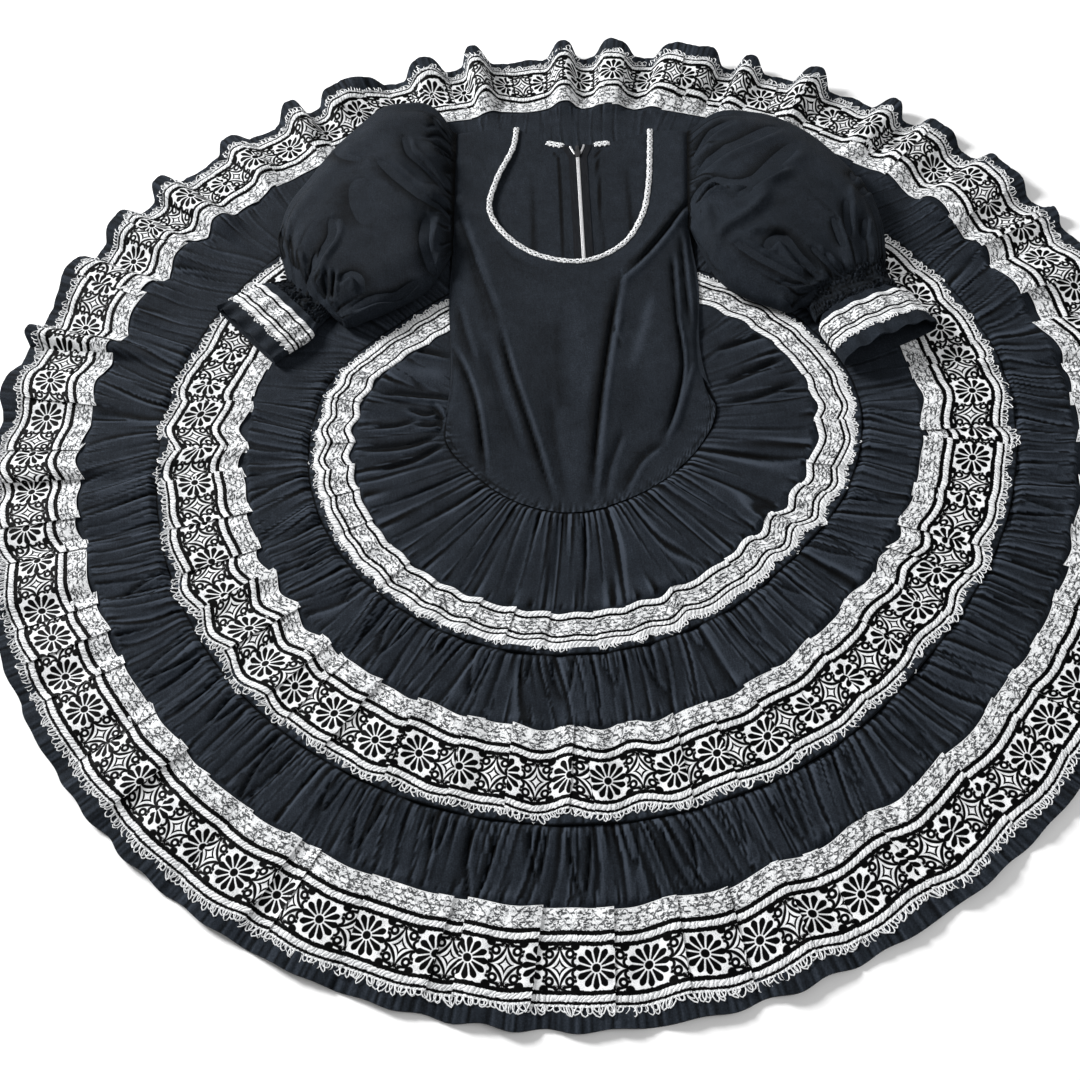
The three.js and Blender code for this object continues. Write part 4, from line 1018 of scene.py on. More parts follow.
def make_front(material):
    """The bodice front, at the front's height with its drawn folds and puckers. Its sides roll under
    by 3.2 exp(-(distance / 5)^2). The two halves meet below the neck and part above it."""
    neck = smooth_line(FRONT_NECK, np.linspace(0, 1, 400))
    lowest = int(np.argmin(neck[:, 1]))
    points, darks = [], []
    for side, edge in (("left", LEFT_EDGE), ("right", RIGHT_EDGE)):
        half = front_half(side, edge, neck, lowest)
        x, y = half[..., 0], half[..., 1]
        lines, dark, puckers = front_detail(x, y)
        side_x = np.where(x < 30, *sides_at(y))
        rolled = 3.2 * np.exp(-(np.abs(x - side_x) / 5) ** 2) * smooth(y, 20, 70)
        z = front_underside(x, y) + CLOTH + lines + puckers - rolled
        points.append(raised(half, np.maximum(z, 0.9)))
        darks.append(dark)
    upper = np.concatenate([points[0], points[1][::-1]], axis=0)
    dark = np.concatenate([darks[0], darks[1][::-1]], axis=0).ravel()
    under = upper.copy()
    under[..., 2] -= SHELL
    both = np.concatenate([upper.reshape(-1, 3), under.reshape(-1, 3)])
    columns, rows = upper.shape[:2]
    first = columns * rows
    i, j = np.meshgrid(np.arange(columns - 1), np.arange(rows - 1), indexing="ij")
    a = (i * rows + j)[i != FRONT_ACROSS - 1]
    faces = together(a, a + rows, a + rows + 1, a + 1)
    left = np.arange(rows - 1)
    right = (columns - 1) * rows + left
    bottom = np.delete(np.arange(columns - 1), FRONT_ACROSS - 1) * rows
    top = bottom + rows - 1
    neck_left = (FRONT_ACROSS - 1) * rows + np.arange(FRONT_LOWER - 1, rows - 1)
    neck_right = neck_left + rows
    quads = np.concatenate([
        faces, faces[:, ::-1] + first,
        border_faces(left, left + 1, first), border_faces(right + 1, right, first),
        border_faces(bottom + rows, bottom, first), border_faces(top, top + rows, first),
        border_faces(neck_left + 1, neck_left, first), border_faces(neck_right, neck_right + 1, first),
    ])
    uv = np.tile(upper[..., :2].reshape(-1, 2), (2, 1))
    # painted shade and highlight of the folds and puckers, on the upper side only
    painted_shading = np.concatenate([dark, 0 * dark])
    piece = make_object("front_of_bodice", both, outward_quads(both, quads), uv=uv, painted_shading=painted_shading)
    merge_doubles(piece)
    return finish_piece(piece, material, ["bodice_front"])


def merge_doubles(piece, distance=1e-6):
    """Joins the points that lie on each other."""
    work = bmesh.new()
    work.from_mesh(piece.data)
    bmesh.ops.remove_doubles(work, verts=work.verts, dist=distance)
    work.to_mesh(piece.data)
    work.free()
    piece.data.shade_smooth()


def make_back(side, material):
    """One half of the back bodice, seen through the scoop, with its seam allowance beside the zip.

    A patch between the waist seam, the side, the neck and the zip, whose upright lines bend to meet
    the others by (1 - v)^12 and v^12. The allowance steps down 25 mm and 13 mm from the zip, and a
    dart exp(-((distance - 62) / 3)^2) runs up beside it.
    """
    left = side == "left"
    sign = -1 if left else 1
    across, rows = 40, 90
    seam_direction = np.linspace(168, 69, across) if left else np.linspace(11, 67, across)
    seam = polar(seam_direction, skirt_value("waist", seam_direction) + 3)
    v = np.linspace(0, 1, rows)[:, None]
    outer = side_line(side, mix(0.085, 1, v[:, 0]))
    outer = outer + (seam[0] - outer[0]) * (1 - v) ** 12
    neck = np.array(BACK_NECK_LEFT if left else BACK_NECK_RIGHT[::-1], dtype=float)
    count = int(across * 0.42)
    top = np.concatenate([
        mix(outer[-1], neck[0], np.linspace(0, 1, count, endpoint=False)[:, None]),
        smooth_line(neck, np.linspace(0, 1, across - count)),
    ])
    y = mix(back_seam_y(centre_back(80)), ZIP_TOP[1], v[:, 0])
    inner = together(centre_back(y) + sign * (SEAM_GAP / 2 + zip_opening(y)), y)
    inner = inner + (seam[-1] - inner[0]) * (1 - v) ** 12 + (top[-1] - inner[-1]) * v ** 12
    grid = patch(seam, top, outer, inner)
    x, yy = grid[..., 0], grid[..., 1]
    off = sign * (x - centre_back(yy)) - zip_opening(yy)
    allowance = 0.8 * smooth(off, 25.5, 24) + 0.5 * smooth(off, 13.5, 12.5)
    dart = 0.8 * np.exp(-((off - 62) / 3) ** 2) * smooth(yy, 440, 330)
    z = back_underside(x, yy) + CLOTH + 0.25 * allowance - 0.3 * dart
    # painted shade along the allowance's step, 25 mm from the zip, and down the dart
    dark = np.maximum(np.exp(-((off - 25) / 1.2) ** 2) * (yy < 455), 0.6 * dart)
    upper = raised(grid, z)
    under = np.concatenate([upper[:, :-1:9], upper[:, -1:]], axis=1).copy()
    under[..., 2] -= SHELL
    piece = shell(f"back_of_bodice_{side}", upper, under, painted_shading=dark)
    return finish_piece(piece, material, [f"bodice_back_{side}"])


# Sleeves and cuffs

def tube_rings(sections, base, shares, turns, inward=0.0, detail=None):
    """Rings of a flattened tube at shares of the way through its sections.

    The lower half lies flat and the upper half is crowned:
    edge + (height - edge) sin(turn)^0.8, with coarse gathers -cos(12 turn). detail(share, turn) is
    added to the upper half. inward draws all of it in, for the inner side.
    """
    table = np.array(sections, dtype=float)
    gaps = np.linalg.norm(np.diff((table[:, 0:2] + table[:, 2:4]) / 2, axis=0), axis=1)
    place = np.concatenate([[0], np.cumsum(gaps)]) / gaps.sum()
    rows = natural_rows(table, place, shares)
    high, low, height, gather = rows[:, 0:2], rows[:, 2:4], rows[:, 4], rows[:, 5]
    middle = (high + low) / 2
    half = np.linalg.norm(high - low, axis=1) / 2
    scale = 1 - 1.3 * inward / half
    edge = 0.3 * height
    up = np.sin(turns)[:, None]
    lift = np.clip(up, 0, 1)
    press = np.clip(-up, 0, 1)
    rise = np.where(up > 0, edge + (height - edge - inward) * lift ** 0.8,
                    np.maximum(inward, edge - edge * press ** 0.4))
    wave = -np.cos(12 * turns)[:, None] * gather * lift ** 0.7
    if detail is not None:
        wave = wave + detail(shares[None, :], turns[:, None]) * smooth(up, 0.02, 0.35)
    across = (np.cos(turns)[:, None] * scale)[..., None]
    plan = middle[None] + (high - middle)[None] * across
    return raised(plan, base + rise + wave)


def natural_rows(table, place, shares):
    """Values of a table's rows at shares between them: in each column, the cubic between two rows
    whose slopes are the column's own mean slopes there."""
    slopes = np.gradient(table, place, axis=0)
    i = np.clip(np.searchsorted(place, shares, side="right") - 1, 0, len(place) - 2)
    gap = (place[i + 1] - place[i])[:, None]
    t = (shares - place[i])[:, None] / gap
    return cubic(t, table[i], table[i + 1], slopes[i] * gap, slopes[i + 1] * gap)


SLEEVE_FOLDS = {
    "left": [
        (5, 3.6, -164, 479, -159, 442, -142, 421, -115, 384),
        (8, 3.4, -198, 428, -169, 388, -139, 356, -118, 350, -102, 328),
        (6, 4.2, -144, 329, -149, 284, -145, 256, -136, 233), (4, 4.0, -115, 347, -120, 274, -134, 236),
        (6, -2.6, -128, 340, -133, 290, -130, 250), (6, 4.4, -262, 330, -262, 306, -280, 273, -294, 243),
        (3, 3.4, -284, 284, -296, 246), (5, 4.0, -255, 231, -243, 239, -232, 231, -230, 212),
        (5, 3.6, -239, 195, -214, 203, -188, 207, -162, 226), (5, -2.4, -240, 183, -214, 190, -190, 192),
        (4, 3.2, -128, 530, -114, 500, -102, 488), (4, 3.2, -136, 484, -118, 488, -102, 474),
        (4, 2.8, -122, 452, -108, 456, -100, 450), (4, 2.6, -118, 420, -106, 436, -103, 460),
        (3, 2.6, -134, 505, -120, 506, -106, 500), (3, 2.6, -128, 468, -116, 466, -104, 462),
        (4, 2.8, -308, 290, -304, 240), (4, 2.8, -298, 262, -290, 226), (4, 3.0, -272, 250, -274, 212),
        (3, 2.6, -262, 246, -266, 208), (5, 2.6, -318, 330, -312, 250), (5, 2.6, -330, 360, -322, 270),
        (16, 1.6, -224, 400, -226, 360, -214, 310), (7, 1.6, -256, 480, -246, 456, -220, 438),
    ],
    "right": [
        (6, 4.4, 176, 306, 194, 328, 216, 333, 236, 316, 268, 312, 318, 330),
        (3, 3.6, 178, 296, 196, 312, 222, 316, 238, 300), (9, 4.6, 194, 328, 184, 262, 188, 214, 206, 176),
        (10, -3.4, 206, 222, 212, 238, 232, 248, 256, 260, 282, 290),
        (5, 4.8, 228, 212, 251, 185, 280, 159, 306, 140), (6, 4.8, 259, 198, 278, 213, 295, 181, 316, 153),
        (8, -2.6, 240, 226, 266, 226, 286, 208), (4, 4.0, 326, 180, 332, 161, 344, 150),
        (4, 3.6, 314, 190, 324, 172, 334, 156), (4, 3.6, 274, 128, 286, 118, 304, 132),
        (6, 3.2, 206, 400, 228, 428, 262, 440), (9, 3.6, 200, 366, 250, 384, 318, 412),
        (10, 3.6, 246, 292, 286, 326, 330, 372), (5, 4.2, 372, 264, 366, 232, 362, 204),
        (4, 3.6, 348, 232, 350, 206, 352, 190), (4, 3.2, 390, 236, 380, 206),
        (6, -2.4, 384, 290, 378, 240), (5, 2.4, 400, 330, 388, 306), (5, 2.8, 412, 300, 392, 280),
        (3, 3.0, 288, 178, 300, 160, 310, 148), (3, 2.8, 268, 150, 284, 142, 298, 140),
    ],
}


SLEEVE_TURNS = (132, 34)  # points over the upper half of a ring, and under it
SLEEVE_SHARES = np.linspace(0, 1, 142)
SLEEVE_LENGTH = 420  # along the gathers, from the cap to the shirring's end
SHIRRING = 0.885  # where the shirring starts, as a share of that


def make_sleeve(side, material):
    """A puffed sleeve: gathered at the cap and above the shirring, and crumpled into fine rows in it.

    The shirring's crumple is the product of a ripple round the wrist and one along the sleeve, over
    44 rows of exp(-((place in row - 0.5) / 0.22)^2).
    """
    sections = SLEEVES[side]
    above, below = SLEEVE_TURNS
    turns = np.concatenate([np.linspace(0, math.pi, above, endpoint=False),
                            np.linspace(math.pi, 2 * math.pi, below, endpoint=False)])
    seed = 120 if side == "left" else 140
    share, turn = np.meshgrid(SLEEVE_SHARES, turns)
    cap_rise, cap_dark = pleats(turn, share * SLEEVE_LENGTH, 1.0, 62, seed, 0.42)
    to_shirring = np.clip(SHIRRING - share, 0, 1) * SLEEVE_LENGTH
    wrist_rise, wrist_dark = pleats(turn, to_shirring, 1.1, 62, seed + 1, 0.62)
    shirred = smooth(share, 0.86, 0.9)
    rows = np.exp(-((np.mod(share * 44 + 0.2 * np.sin(9 * turn), 1) - 0.5) / 0.22) ** 2) * shirred
    round_wrist = ripple(turn + 0.2 * np.sin(60 * share), 44, seed + 3)
    ruck = round_wrist * ripple(share * 9 + 0.1 * np.sin(8 * turn), 14, seed + 4) * shirred
    detail = 0.85 * (cap_rise + wrist_rise) * (1 - shirred) - 0.5 * rows + 1.1 * ruck - 1.2 * (1 - shirred)
    upward = smooth(np.sin(turn), 0.0, 0.3)
    outer = tube_rings(sections, SLEEVE_BASE, SLEEVE_SHARES, turns)
    folds, fold_dark = drawn_folds(outer[..., 0], outer[..., 1], SLEEVE_FOLDS[side], SLEEVE_STRENGTH)
    outer[..., 2] += (detail + folds) * upward * smooth(share, 0.0, 0.02)
    # the cap's first ring is sewn in under the edge of the bodice front
    outer[:, 0, 0] += 2.5 if side == "left" else -2.5
    outer[:, 0, 2] = np.minimum(outer[:, 0, 2], outer[:, 1, 2] - 0.4)
    inner = tube_rings(sections, SLEEVE_BASE, np.linspace(0, 1, 16), turns, inward=SHELL + 1.2)
    # painted shade in the gathers and drawn folds, with painted highlights below 0 beside the folds
    dark = stronger(stronger(cap_dark, wrist_dark) * (1 - shirred), fold_dark) * upward
    # painted shade down in the shirring's crumpled rows
    crumpled = 0.35 * rows + 0.55 * np.exp(-((ruck + 0.5) / 0.4) ** 2) * shirred
    dark = np.maximum(dark, crumpled * upward)
    # painted shade at the cap's first ring, where it goes under the bodice's edge
    dark = np.maximum(dark, np.exp(-(share / 0.006) ** 2))
    piece = shell(f"puffed_sleeve_{side}", outer, inner, closed=True, painted_shading=dark)
    return finish_piece(piece, material, [f"sleeve_{side}"])


CUFF_BASE = SLEEVE_BASE + LAY_GAP + 1.0


def make_cuff(side, material):
    """The frill beyond the shirring, open at both ends, with 1.3 ripple(turn) at its free edge."""
    sections = cuff_sections(side)
    turns = np.linspace(0, 2 * math.pi, 150, endpoint=False)
    shares = np.linspace(0, 1, 46)
    outer = tube_rings(sections, CUFF_BASE, shares, turns, detail=cuff_detail(side))
    inner = tube_rings(sections, CUFF_BASE, shares, turns, inward=SHELL)
    inner[..., 2] += np.minimum(outer[..., 2] - SHELL - inner[..., 2], 0)
    piece = shell(f"frill_of_cuff_{side}", outer, inner, closed=True)
    return finish_piece(piece, material, [f"cuff_{side}"])


def cuff_detail(side):
    """The cuff's ripple, as a function of the share of the way to its free edge and of the turn."""
    seed = 170 if side == "left" else 180
    return lambda share, turn: 1.3 * ripple(turn, 9, seed) * smooth(share, 0.72, 1.0)


def moved_out(skin, around, distance):
    """Rings moved out of their own skin: sideways away from the ring's middle, half as far on top,
    and up or down by distance * min(1, 3 |sin(turn)|)."""
    up = np.sin(around)[:, None]
    away = skin[..., :2] - skin.mean(axis=0, keepdims=True)[..., :2]
    away /= np.linalg.norm(away, axis=2)[..., None] + 1e-9
    distance = np.broadcast_to(distance, skin.shape[:2])
    place = skin[..., :2] + away * (distance * (1 - 0.5 * np.abs(up)))[..., None]
    z = skin[..., 2] + distance * np.sign(up) * np.minimum(1, 3 * np.abs(up))
    return raised(place, z)


def make_cuff_braid(side, material):
    """The braid round a cuff, on its two middle sections. Also the places along its outer edge, and
    the ways out there, for the loops of thread."""
    start, total = CUFF_SECTIONS[0][0], CUFF_SECTIONS[-1][0] - CUFF_SECTIONS[0][0]
    first, last = (CUFF_SECTIONS[1][0] - start) / total, (CUFF_SECTIONS[2][0] - start) / total
    rows = np.array(NARROW_ROWS, dtype=float)
    around = np.linspace(-0.5 * math.pi, 1.5 * math.pi, 170)
    skin = tube_rings(cuff_sections(side), CUFF_BASE, mix(first, last, rows / rows[-1]), around,
                      detail=cuff_detail(side))
    cords = cord_height(np.broadcast_to(rows, skin.shape[:2]), NARROW_CORDS) * 0.6
    upward = np.clip(np.sin(around)[:, None] + 0.6, 0, 1)
    low = moved_out(skin, around, LAY_GAP)[:, [0, len(rows) // 2, -1]]
    high = moved_out(skin, around, LAY_GAP + 0.6 + cords * upward)
    uv = np.stack(np.broadcast_arrays(length_along(high[:, 5])[:, None], rows[None]), axis=-1)
    band = shell(f"cuff_{side}_braid_band", high, low, uv=uv)
    finish_piece(band, material, [f"cuff_{side}_braid"])
    edge = high[np.sin(around) > 0.02, -1]
    along = np.array(CUFFS[side]["along"])
    return band, edge, np.broadcast_to(along, (len(edge), 2)).copy()


# Neck braid and zip

def strip(name, line, offsets, heights, thickness, rows, crown=0.0):
    """A flat strip along a plan line: rows across between two offsets, at given heights, with a
    crown of sin(pi share)."""
    ahead = np.gradient(line, axis=0)
    ahead /= np.linalg.norm(ahead, axis=1)[:, None]
    normal = together(ahead[:, 1], -ahead[:, 0])
    share = np.linspace(0, 1, rows)
    low, high = (np.broadcast_to(o, len(line)) for o in offsets)
    across = mix(low[:, None], high[:, None], share[None])
    plan = line[:, None] + normal[:, None] * across[..., None]
    z = heights(plan[..., 0], plan[..., 1])
    upper = z + thickness + crown * np.sin(math.pi * share)[None]
    top = raised(plan, upper)
    under = raised(plan, z)[:, [0, -1]]
    uv = np.stack(np.broadcast_arrays(length_along(line)[:, None], across - low.min()), axis=-1)
    return shell(name, top, under, uv=uv)


# The stretches of the back neck's braid that show past its cloth, as shares of each edge
BACK_BRAID_SHOWN = {"left": (0.62, 0.93), "right": (0.02, 0.27)}


def make_neck_braid(material):
    """The braid round the scoop, and the edge of the back neck's braid that shows past its cloth. Its
    scalloped sides stand off by 1.1 |sin(pi length / 5.2)|."""
    count = 560
    line = smooth_line(FRONT_NECK, np.linspace(0.004, 0.996, count))
    length = length_along(line)
    scallop = 1.1 * np.abs(np.sin(math.pi * length / 5.2)) * (0.6 + 0.4 * np.sin(length / 3.1))
    front = strip("neck_braid_on_front", line, (1.2 - scallop, 7.2 + scallop),
                  lambda x, y: front_underside(x, y) + CLOTH + LAY_GAP - 0.1, 0.8, 9, crown=0.9)
    pieces = [finish_piece(front, material, ["neck_braid_front"])]
    for side, neck in (("left", BACK_NECK_LEFT), ("right", BACK_NECK_RIGHT)):
        line = smooth_line(neck, np.linspace(0.02, 0.99, 90))
        share = np.linspace(0, 1, 90)
        low, high = BACK_BRAID_SHOWN[side]
        shown = smooth(share, low - 0.08, low + 0.04) * (1 - smooth(share, high - 0.04, high + 0.08))
        inner = mix(1.2, 6.2, shown) + 1.3 * np.sin(share * 75) * shown
        back = strip(f"neck_braid_on_back_{side}", line, (mix(0.6, -2.4, shown), inner),
                     lambda x, y: np.full_like(x, BODICE_BASE - 1.3) + 3.2 * shown[:, None], 0.9, 5)
        pieces.append(finish_piece(back, material, [f"neck_braid_back_{side}"]))
    return pieces


def zip_line(low, high, count):
    """Points up the centre back line."""
    y = np.linspace(low, high, count)
    return together(centre_back(y), y)


def on_back(x, y):
    """Height just above the back bodice's inner side."""
    return back_underside(x, y) + CLOTH + 0.25


def make_boxes(name, centres, along, across, sizes, bevel=0.25):
    """Small blocks with chamfered tops. Each is a box whose upper face is drawn in by the bevel."""
    length, width, height = sizes
    a = np.array([-1.0, 1, 1, -1])[None, :, None] * length / 2
    b = np.array([-1.0, -1, 1, 1])[None, :, None] * width / 2
    base = a * along[:, None] + b * across[:, None]
    floor = np.repeat(centres[:, None, 2:], 4, axis=1)
    low = np.concatenate([centres[:, None, :2] + base, floor], axis=2)
    inset = base * (1 - 2 * bevel / max(length, width))
    high = np.concatenate([centres[:, None, :2] + inset, floor + height], axis=2)
    points = np.concatenate([low, low + [0, 0, height - bevel], high], axis=1).reshape(-1, 3)
    first = np.arange(len(centres))[:, None, None] * 12
    k = np.arange(4)
    n = (k + 1) % 4
    sides = np.concatenate([together(k, n, n + 4, k + 4), together(k + 4, n + 4, n + 8, k + 8),
                            [[3, 2, 1, 0], [8, 9, 10, 11]]])
    quads = (first + sides[None]).reshape(-1, 4)
    return make_object(name, points, outward_quads(points, quads))


ZIP_SLOPE = (ZIP_SLIDER[0] - ZIP_BOTTOM[0]) / (ZIP_SLIDER[1] - ZIP_BOTTOM[1])
TOOTH_PITCH, TOOTH = 1.5, (1.1, 2.6, 1.5)  # length, width and height of a tooth


def make_tapes(material):
    """A flat tape on each side of the centre back, 2 mm to 12 mm from it, further out where the zip
    is open."""
    pieces = []
    for side, sign in (("left", -1), ("right", 1)):
        line = zip_line(ZIP_BOTTOM[1], ZIP_TOP[1] - 3, 90)
        opening = zip_opening(line[:, 1])
        edges = [sign * (2.0 + opening), sign * (12 + opening)]
        tape = strip(f"tape_of_zip_{side}", line, edges if sign > 0 else edges[::-1],
                     lambda x, y: on_back(x, y) + 0.25, 0.5, 5)
        pieces.append(finish_piece(tape, material, [f"zip_tape_{side}"]))
    return pieces


def make_teeth(material):
    """Two rows of teeth, half a pitch apart below the slider, and on the parted edges above it."""
    closed = np.arange(ZIP_BOTTOM[1], ZIP_SLIDER[1], TOOTH_PITCH)
    opened = np.arange(ZIP_SLIDER[1] + 7, ZIP_TOP[1] - 3, TOOTH_PITCH)
    centres, lean = [], []
    for sign in (-1, 1):
        x = centre_back(closed) + sign * 0.95
        y = closed + (TOOTH_PITCH / 2 if sign > 0 else 0)
        centres.append(together(x, y, on_back(x, closed)))
        lean.append(np.full(len(closed), ZIP_SLOPE))
        x = centre_back(opened) + sign * (1.4 + zip_opening(opened))
        centres.append(together(x, opened, on_back(x, opened)))
        lean.append(np.gradient(x, opened))
    centres, lean = np.concatenate(centres), np.concatenate(lean)
    along = together(lean, np.ones_like(lean))
    along /= np.linalg.norm(along, axis=1)[:, None]
    across = together(along[:, 1], -along[:, 0])
    teeth = make_boxes("teeth_of_zip", centres, along, across, TOOTH)
    return finish_piece(teeth, material, ["zip_chain"])


def make_slider(material):
    """Two plates along the zip, domed by 0.35 (1 - across^2): the slider over the teeth, which
    widens up from its foot, and the pull under the cloth, which narrows."""
    start = np.array(ZIP_SLIDER, dtype=float)
    ahead = np.array([ZIP_SLOPE, 1.0]) / math.hypot(ZIP_SLOPE, 1)
    sideways = np.array([ahead[1], -ahead[0]])
    share = np.linspace(0, 1, 9)
    across = np.linspace(-1, 1, 7)
    pieces = []
    for name, low, high, length, half in (
            ("slider_of_zip", 7.4, 8.6, 10.5, mix(2.6, 4.2, smooth(share, 0, 0.8))),
            ("pull_of_zip", 2.9, 4.0, 26, mix(3.2, 2.2, share))):
        middle = start + ahead * mix(0.2, length, share)[:, None]
        plan = middle[:, None] + sideways * (half[:, None] * across[None])[..., None]
        dome = 0.35 * (1 - across ** 2)[None] * np.ones((len(share), 1))
        top = raised(plan, high + dome)
        under = np.concatenate([plan[:, [0, -1]], np.full((len(share), 2, 1), low)], -1)
        pieces.append(finish_piece(shell(name, top, under), material, ["zip_slider"]))
    return pieces


# Materials

def set_values(node, values):
    """Sets some of a node's inputs."""
    for name, value in dict(values).items():
        node.inputs[name].default_value = value


def add_node(tree, kind, values=(), links=()):
    """A shader node with values on some of its inputs and sockets linked to others."""
    node = tree.nodes.new("ShaderNode" + kind)
    set_values(node, values)
    for name, socket in dict(links).items():
        tree.links.new(socket, node.inputs[name])
    return node


def maths(operation):
    """A method of Field that makes one kind of Math node."""
    return lambda self, *others: self.math(operation, *others)


class Field:
    """A number at each point of a surface. Sums and products of fields become Math nodes."""

    def __init__(self, tree, socket):
        self.tree = tree
        self.socket = socket

    def math(self, operation, *others):
        """A Math node of this number and others."""
        node = self.tree.nodes.new("ShaderNodeMath")
        node.operation = operation
        for slot, value in enumerate((self, *others)):
            if isinstance(value, Field):
                self.tree.links.new(value.socket, node.inputs[slot])
            else:
                node.inputs[slot].default_value = value
        return Field(self.tree, node.outputs[0])

    __add__, __sub__ = maths("ADD"), maths("SUBTRACT")
    __mul__, __truediv__ = maths("MULTIPLY"), maths("DIVIDE")
    less, more = maths("MINIMUM"), maths("MAXIMUM")  # more joins two masks
    size, power, root = maths("ABSOLUTE"), maths("POWER"), maths("SQRT")

    def turned(self):
        """1 less the number."""
        return self * -1 + 1

    def repeat(self, period):
        """The place within a period, from -period / 2 to period / 2."""
        return (self + period / 2).math("FLOORED_MODULO", period) - period / 2

    def rise(self, low, high):
        """0 below low and 1 above high, smooth between."""
        node = add_node(self.tree, "MapRange", {"From Min": low, "From Max": high}, {"Value": self.socket})
        node.interpolation_type = "SMOOTHSTEP"
        return Field(self.tree, node.outputs["Result"])

    def below(self, edge, soft=0.35):
        """1 under an edge and 0 over it."""
        return self.rise(edge - soft, edge + soft).turned()

    def between(self, low, high, soft=0.35):
        """1 from low to high and 0 outside."""
        return self.rise(low - soft, low + soft) * self.below(high, soft)


def new_material(name):
    """A material, its node tree and its main shader."""
    material = bpy.data.materials.new(name)
    material.use_nodes = True
    return material, material.node_tree, material.node_tree.nodes["Principled BSDF"]


def object_places(tree):
    """Each point's place on its object, in metres."""
    return tree.nodes.new("ShaderNodeTexCoord").outputs["Object"]


def noise(tree, vector, scale, detail=2.0, rough=0.5):
    """Cloudy noise round 0.5, with scale clouds to a unit of the vector."""
    values = {"Scale": scale, "Detail": detail, "Roughness": rough}
    node = add_node(tree, "TexNoise", values, {"Vector": vector})
    return Field(tree, node.outputs["Fac"])


def stretched(tree, vector, scale):
    """The places times a scale of their own on each axis."""
    return add_node(tree, "Mapping", {"Scale": scale}, {"Vector": vector}).outputs["Vector"]


def uneven(tree, uv, scale, size, detail=2.0):
    """Noise over the cloth's own map, from -size / 2 to size / 2."""
    return noise(tree, stretched(tree, uv, (scale, scale, 1)), 1.0, detail) * size + -size / 2


def ramp(tree, factor, stops):
    """Colours that run from one stop (position, colour) to the next."""
    node = add_node(tree, "ValToRGB", links={"Fac": factor.socket})
    while len(node.color_ramp.elements) < len(stops):
        node.color_ramp.elements.new(0.5)
    for element, (position, colour) in zip(node.color_ramp.elements, stops):
        element.position = position
        element.color = (*colour, 1)
    return node.outputs["Color"]


def bump(tree, shader, height, distance, strength):
    """Fine relief of the shader's normal, height times distance metres."""
    values = {"Distance": distance, "Strength": strength}
    node = add_node(tree, "Bump", values, {"Height": height.socket})
    tree.links.new(node.outputs["Normal"], shader.inputs["Normal"])


def weave_group():
    """Plain weave: two crossing sets of threads, |sin| along each way in turns, as a height, and
    slubs, which are noise drawn out along the threads, as a tone."""
    group = bpy.data.node_groups.new("plain weave", "ShaderNodeTree")
    for name, way, kind in (("Vector", "INPUT", "Vector"), ("Threads", "INPUT", "Float"),
                            ("Height", "OUTPUT", "Float"), ("Tone", "OUTPUT", "Float")):
        group.interface.new_socket(name, in_out=way, socket_type="NodeSocket" + kind)
    source = group.nodes.new("NodeGroupInput")
    target = group.nodes.new("NodeGroupOutput")
    split = add_node(group, "SeparateXYZ", links={"Vector": source.outputs["Vector"]})
    threads = Field(group, source.outputs["Threads"])
    x = Field(group, split.outputs["X"]) * threads
    y = Field(group, split.outputs["Y"]) * threads
    warp, weft = x.math("SINE").size(), y.math("SINE").size()
    checker = ((x * (1 / math.pi)).math("FLOOR") + (y * (1 / math.pi)).math("FLOOR")).math("PINGPONG", 1.0)
    height = warp * checker + weft * checker.turned()
    slub = noise(group, stretched(group, source.outputs["Vector"], (900, 60, 60)), 1.0, 1.0)
    group.links.new(height.socket, target.inputs["Height"])
    group.links.new(slub.socket, target.inputs["Tone"])
    return group


WEAVE = weave_group()


def woven(tree, vector, threads):
    """The weave's height and tone."""
    node = tree.nodes.new("ShaderNodeGroup")
    node.node_tree = WEAVE
    node.inputs["Threads"].default_value = threads
    tree.links.new(vector, node.inputs["Vector"])
    return Field(tree, node.outputs["Height"]), Field(tree, node.outputs["Tone"])


# Colours along the tone: the dark stops carry the painted shade of creases and seams, the light stops the
# painted highlights on lit folds, round the cloth's own near black
COTTON_COLOURS = [(0.04, (0.0004, 0.0005, 0.0006)), (0.28, (0.0042, 0.0055, 0.0072)),
                  (0.5, (0.0140, 0.0180, 0.0242)), (0.85, (0.044, 0.054, 0.071))]


def cotton():
    """Black cotton poplin: near black and blue-grey with a faint sheen, with painted shade down in its
    creases and painted highlights on its lit folds, soft cloudy tone that is darker where the crumpled
    bump lies low, slubs and grain."""
    material, tree, shader = new_material("black cotton poplin")
    place = object_places(tree)
    height, slub = woven(tree, place, 7000.0)
    broad = noise(tree, place, 9.0, 3.0)
    crumple = noise(tree, place, 60.0, 3.0, 0.55)
    attribute = tree.nodes.new("ShaderNodeAttribute")
    attribute.attribute_name = "painted_shading"
    painted_shading = Field(tree, attribute.outputs["Fac"])
    grain = noise(tree, place, 620.0, 1.0)
    # the painted shading lowers the tone as painted shade, or raises it below 0 as a painted highlight
    tone = painted_shading * -0.55 + broad * 0.2 + crumple * 0.2 + slub * 0.14 + grain * 0.36
    tree.links.new(ramp(tree, tone, COTTON_COLOURS), shader.inputs["Base Color"])
    set_values(shader, {"Roughness": 0.6, "Specular IOR Level": 0.03, "Sheen Weight": 0.008,
                        "Sheen Roughness": 0.5})
    bump(tree, shader, crumple + height * 0.12 + noise(tree, place, 200.0, 2.0) * 0.2, 0.0024, 0.6)
    return material


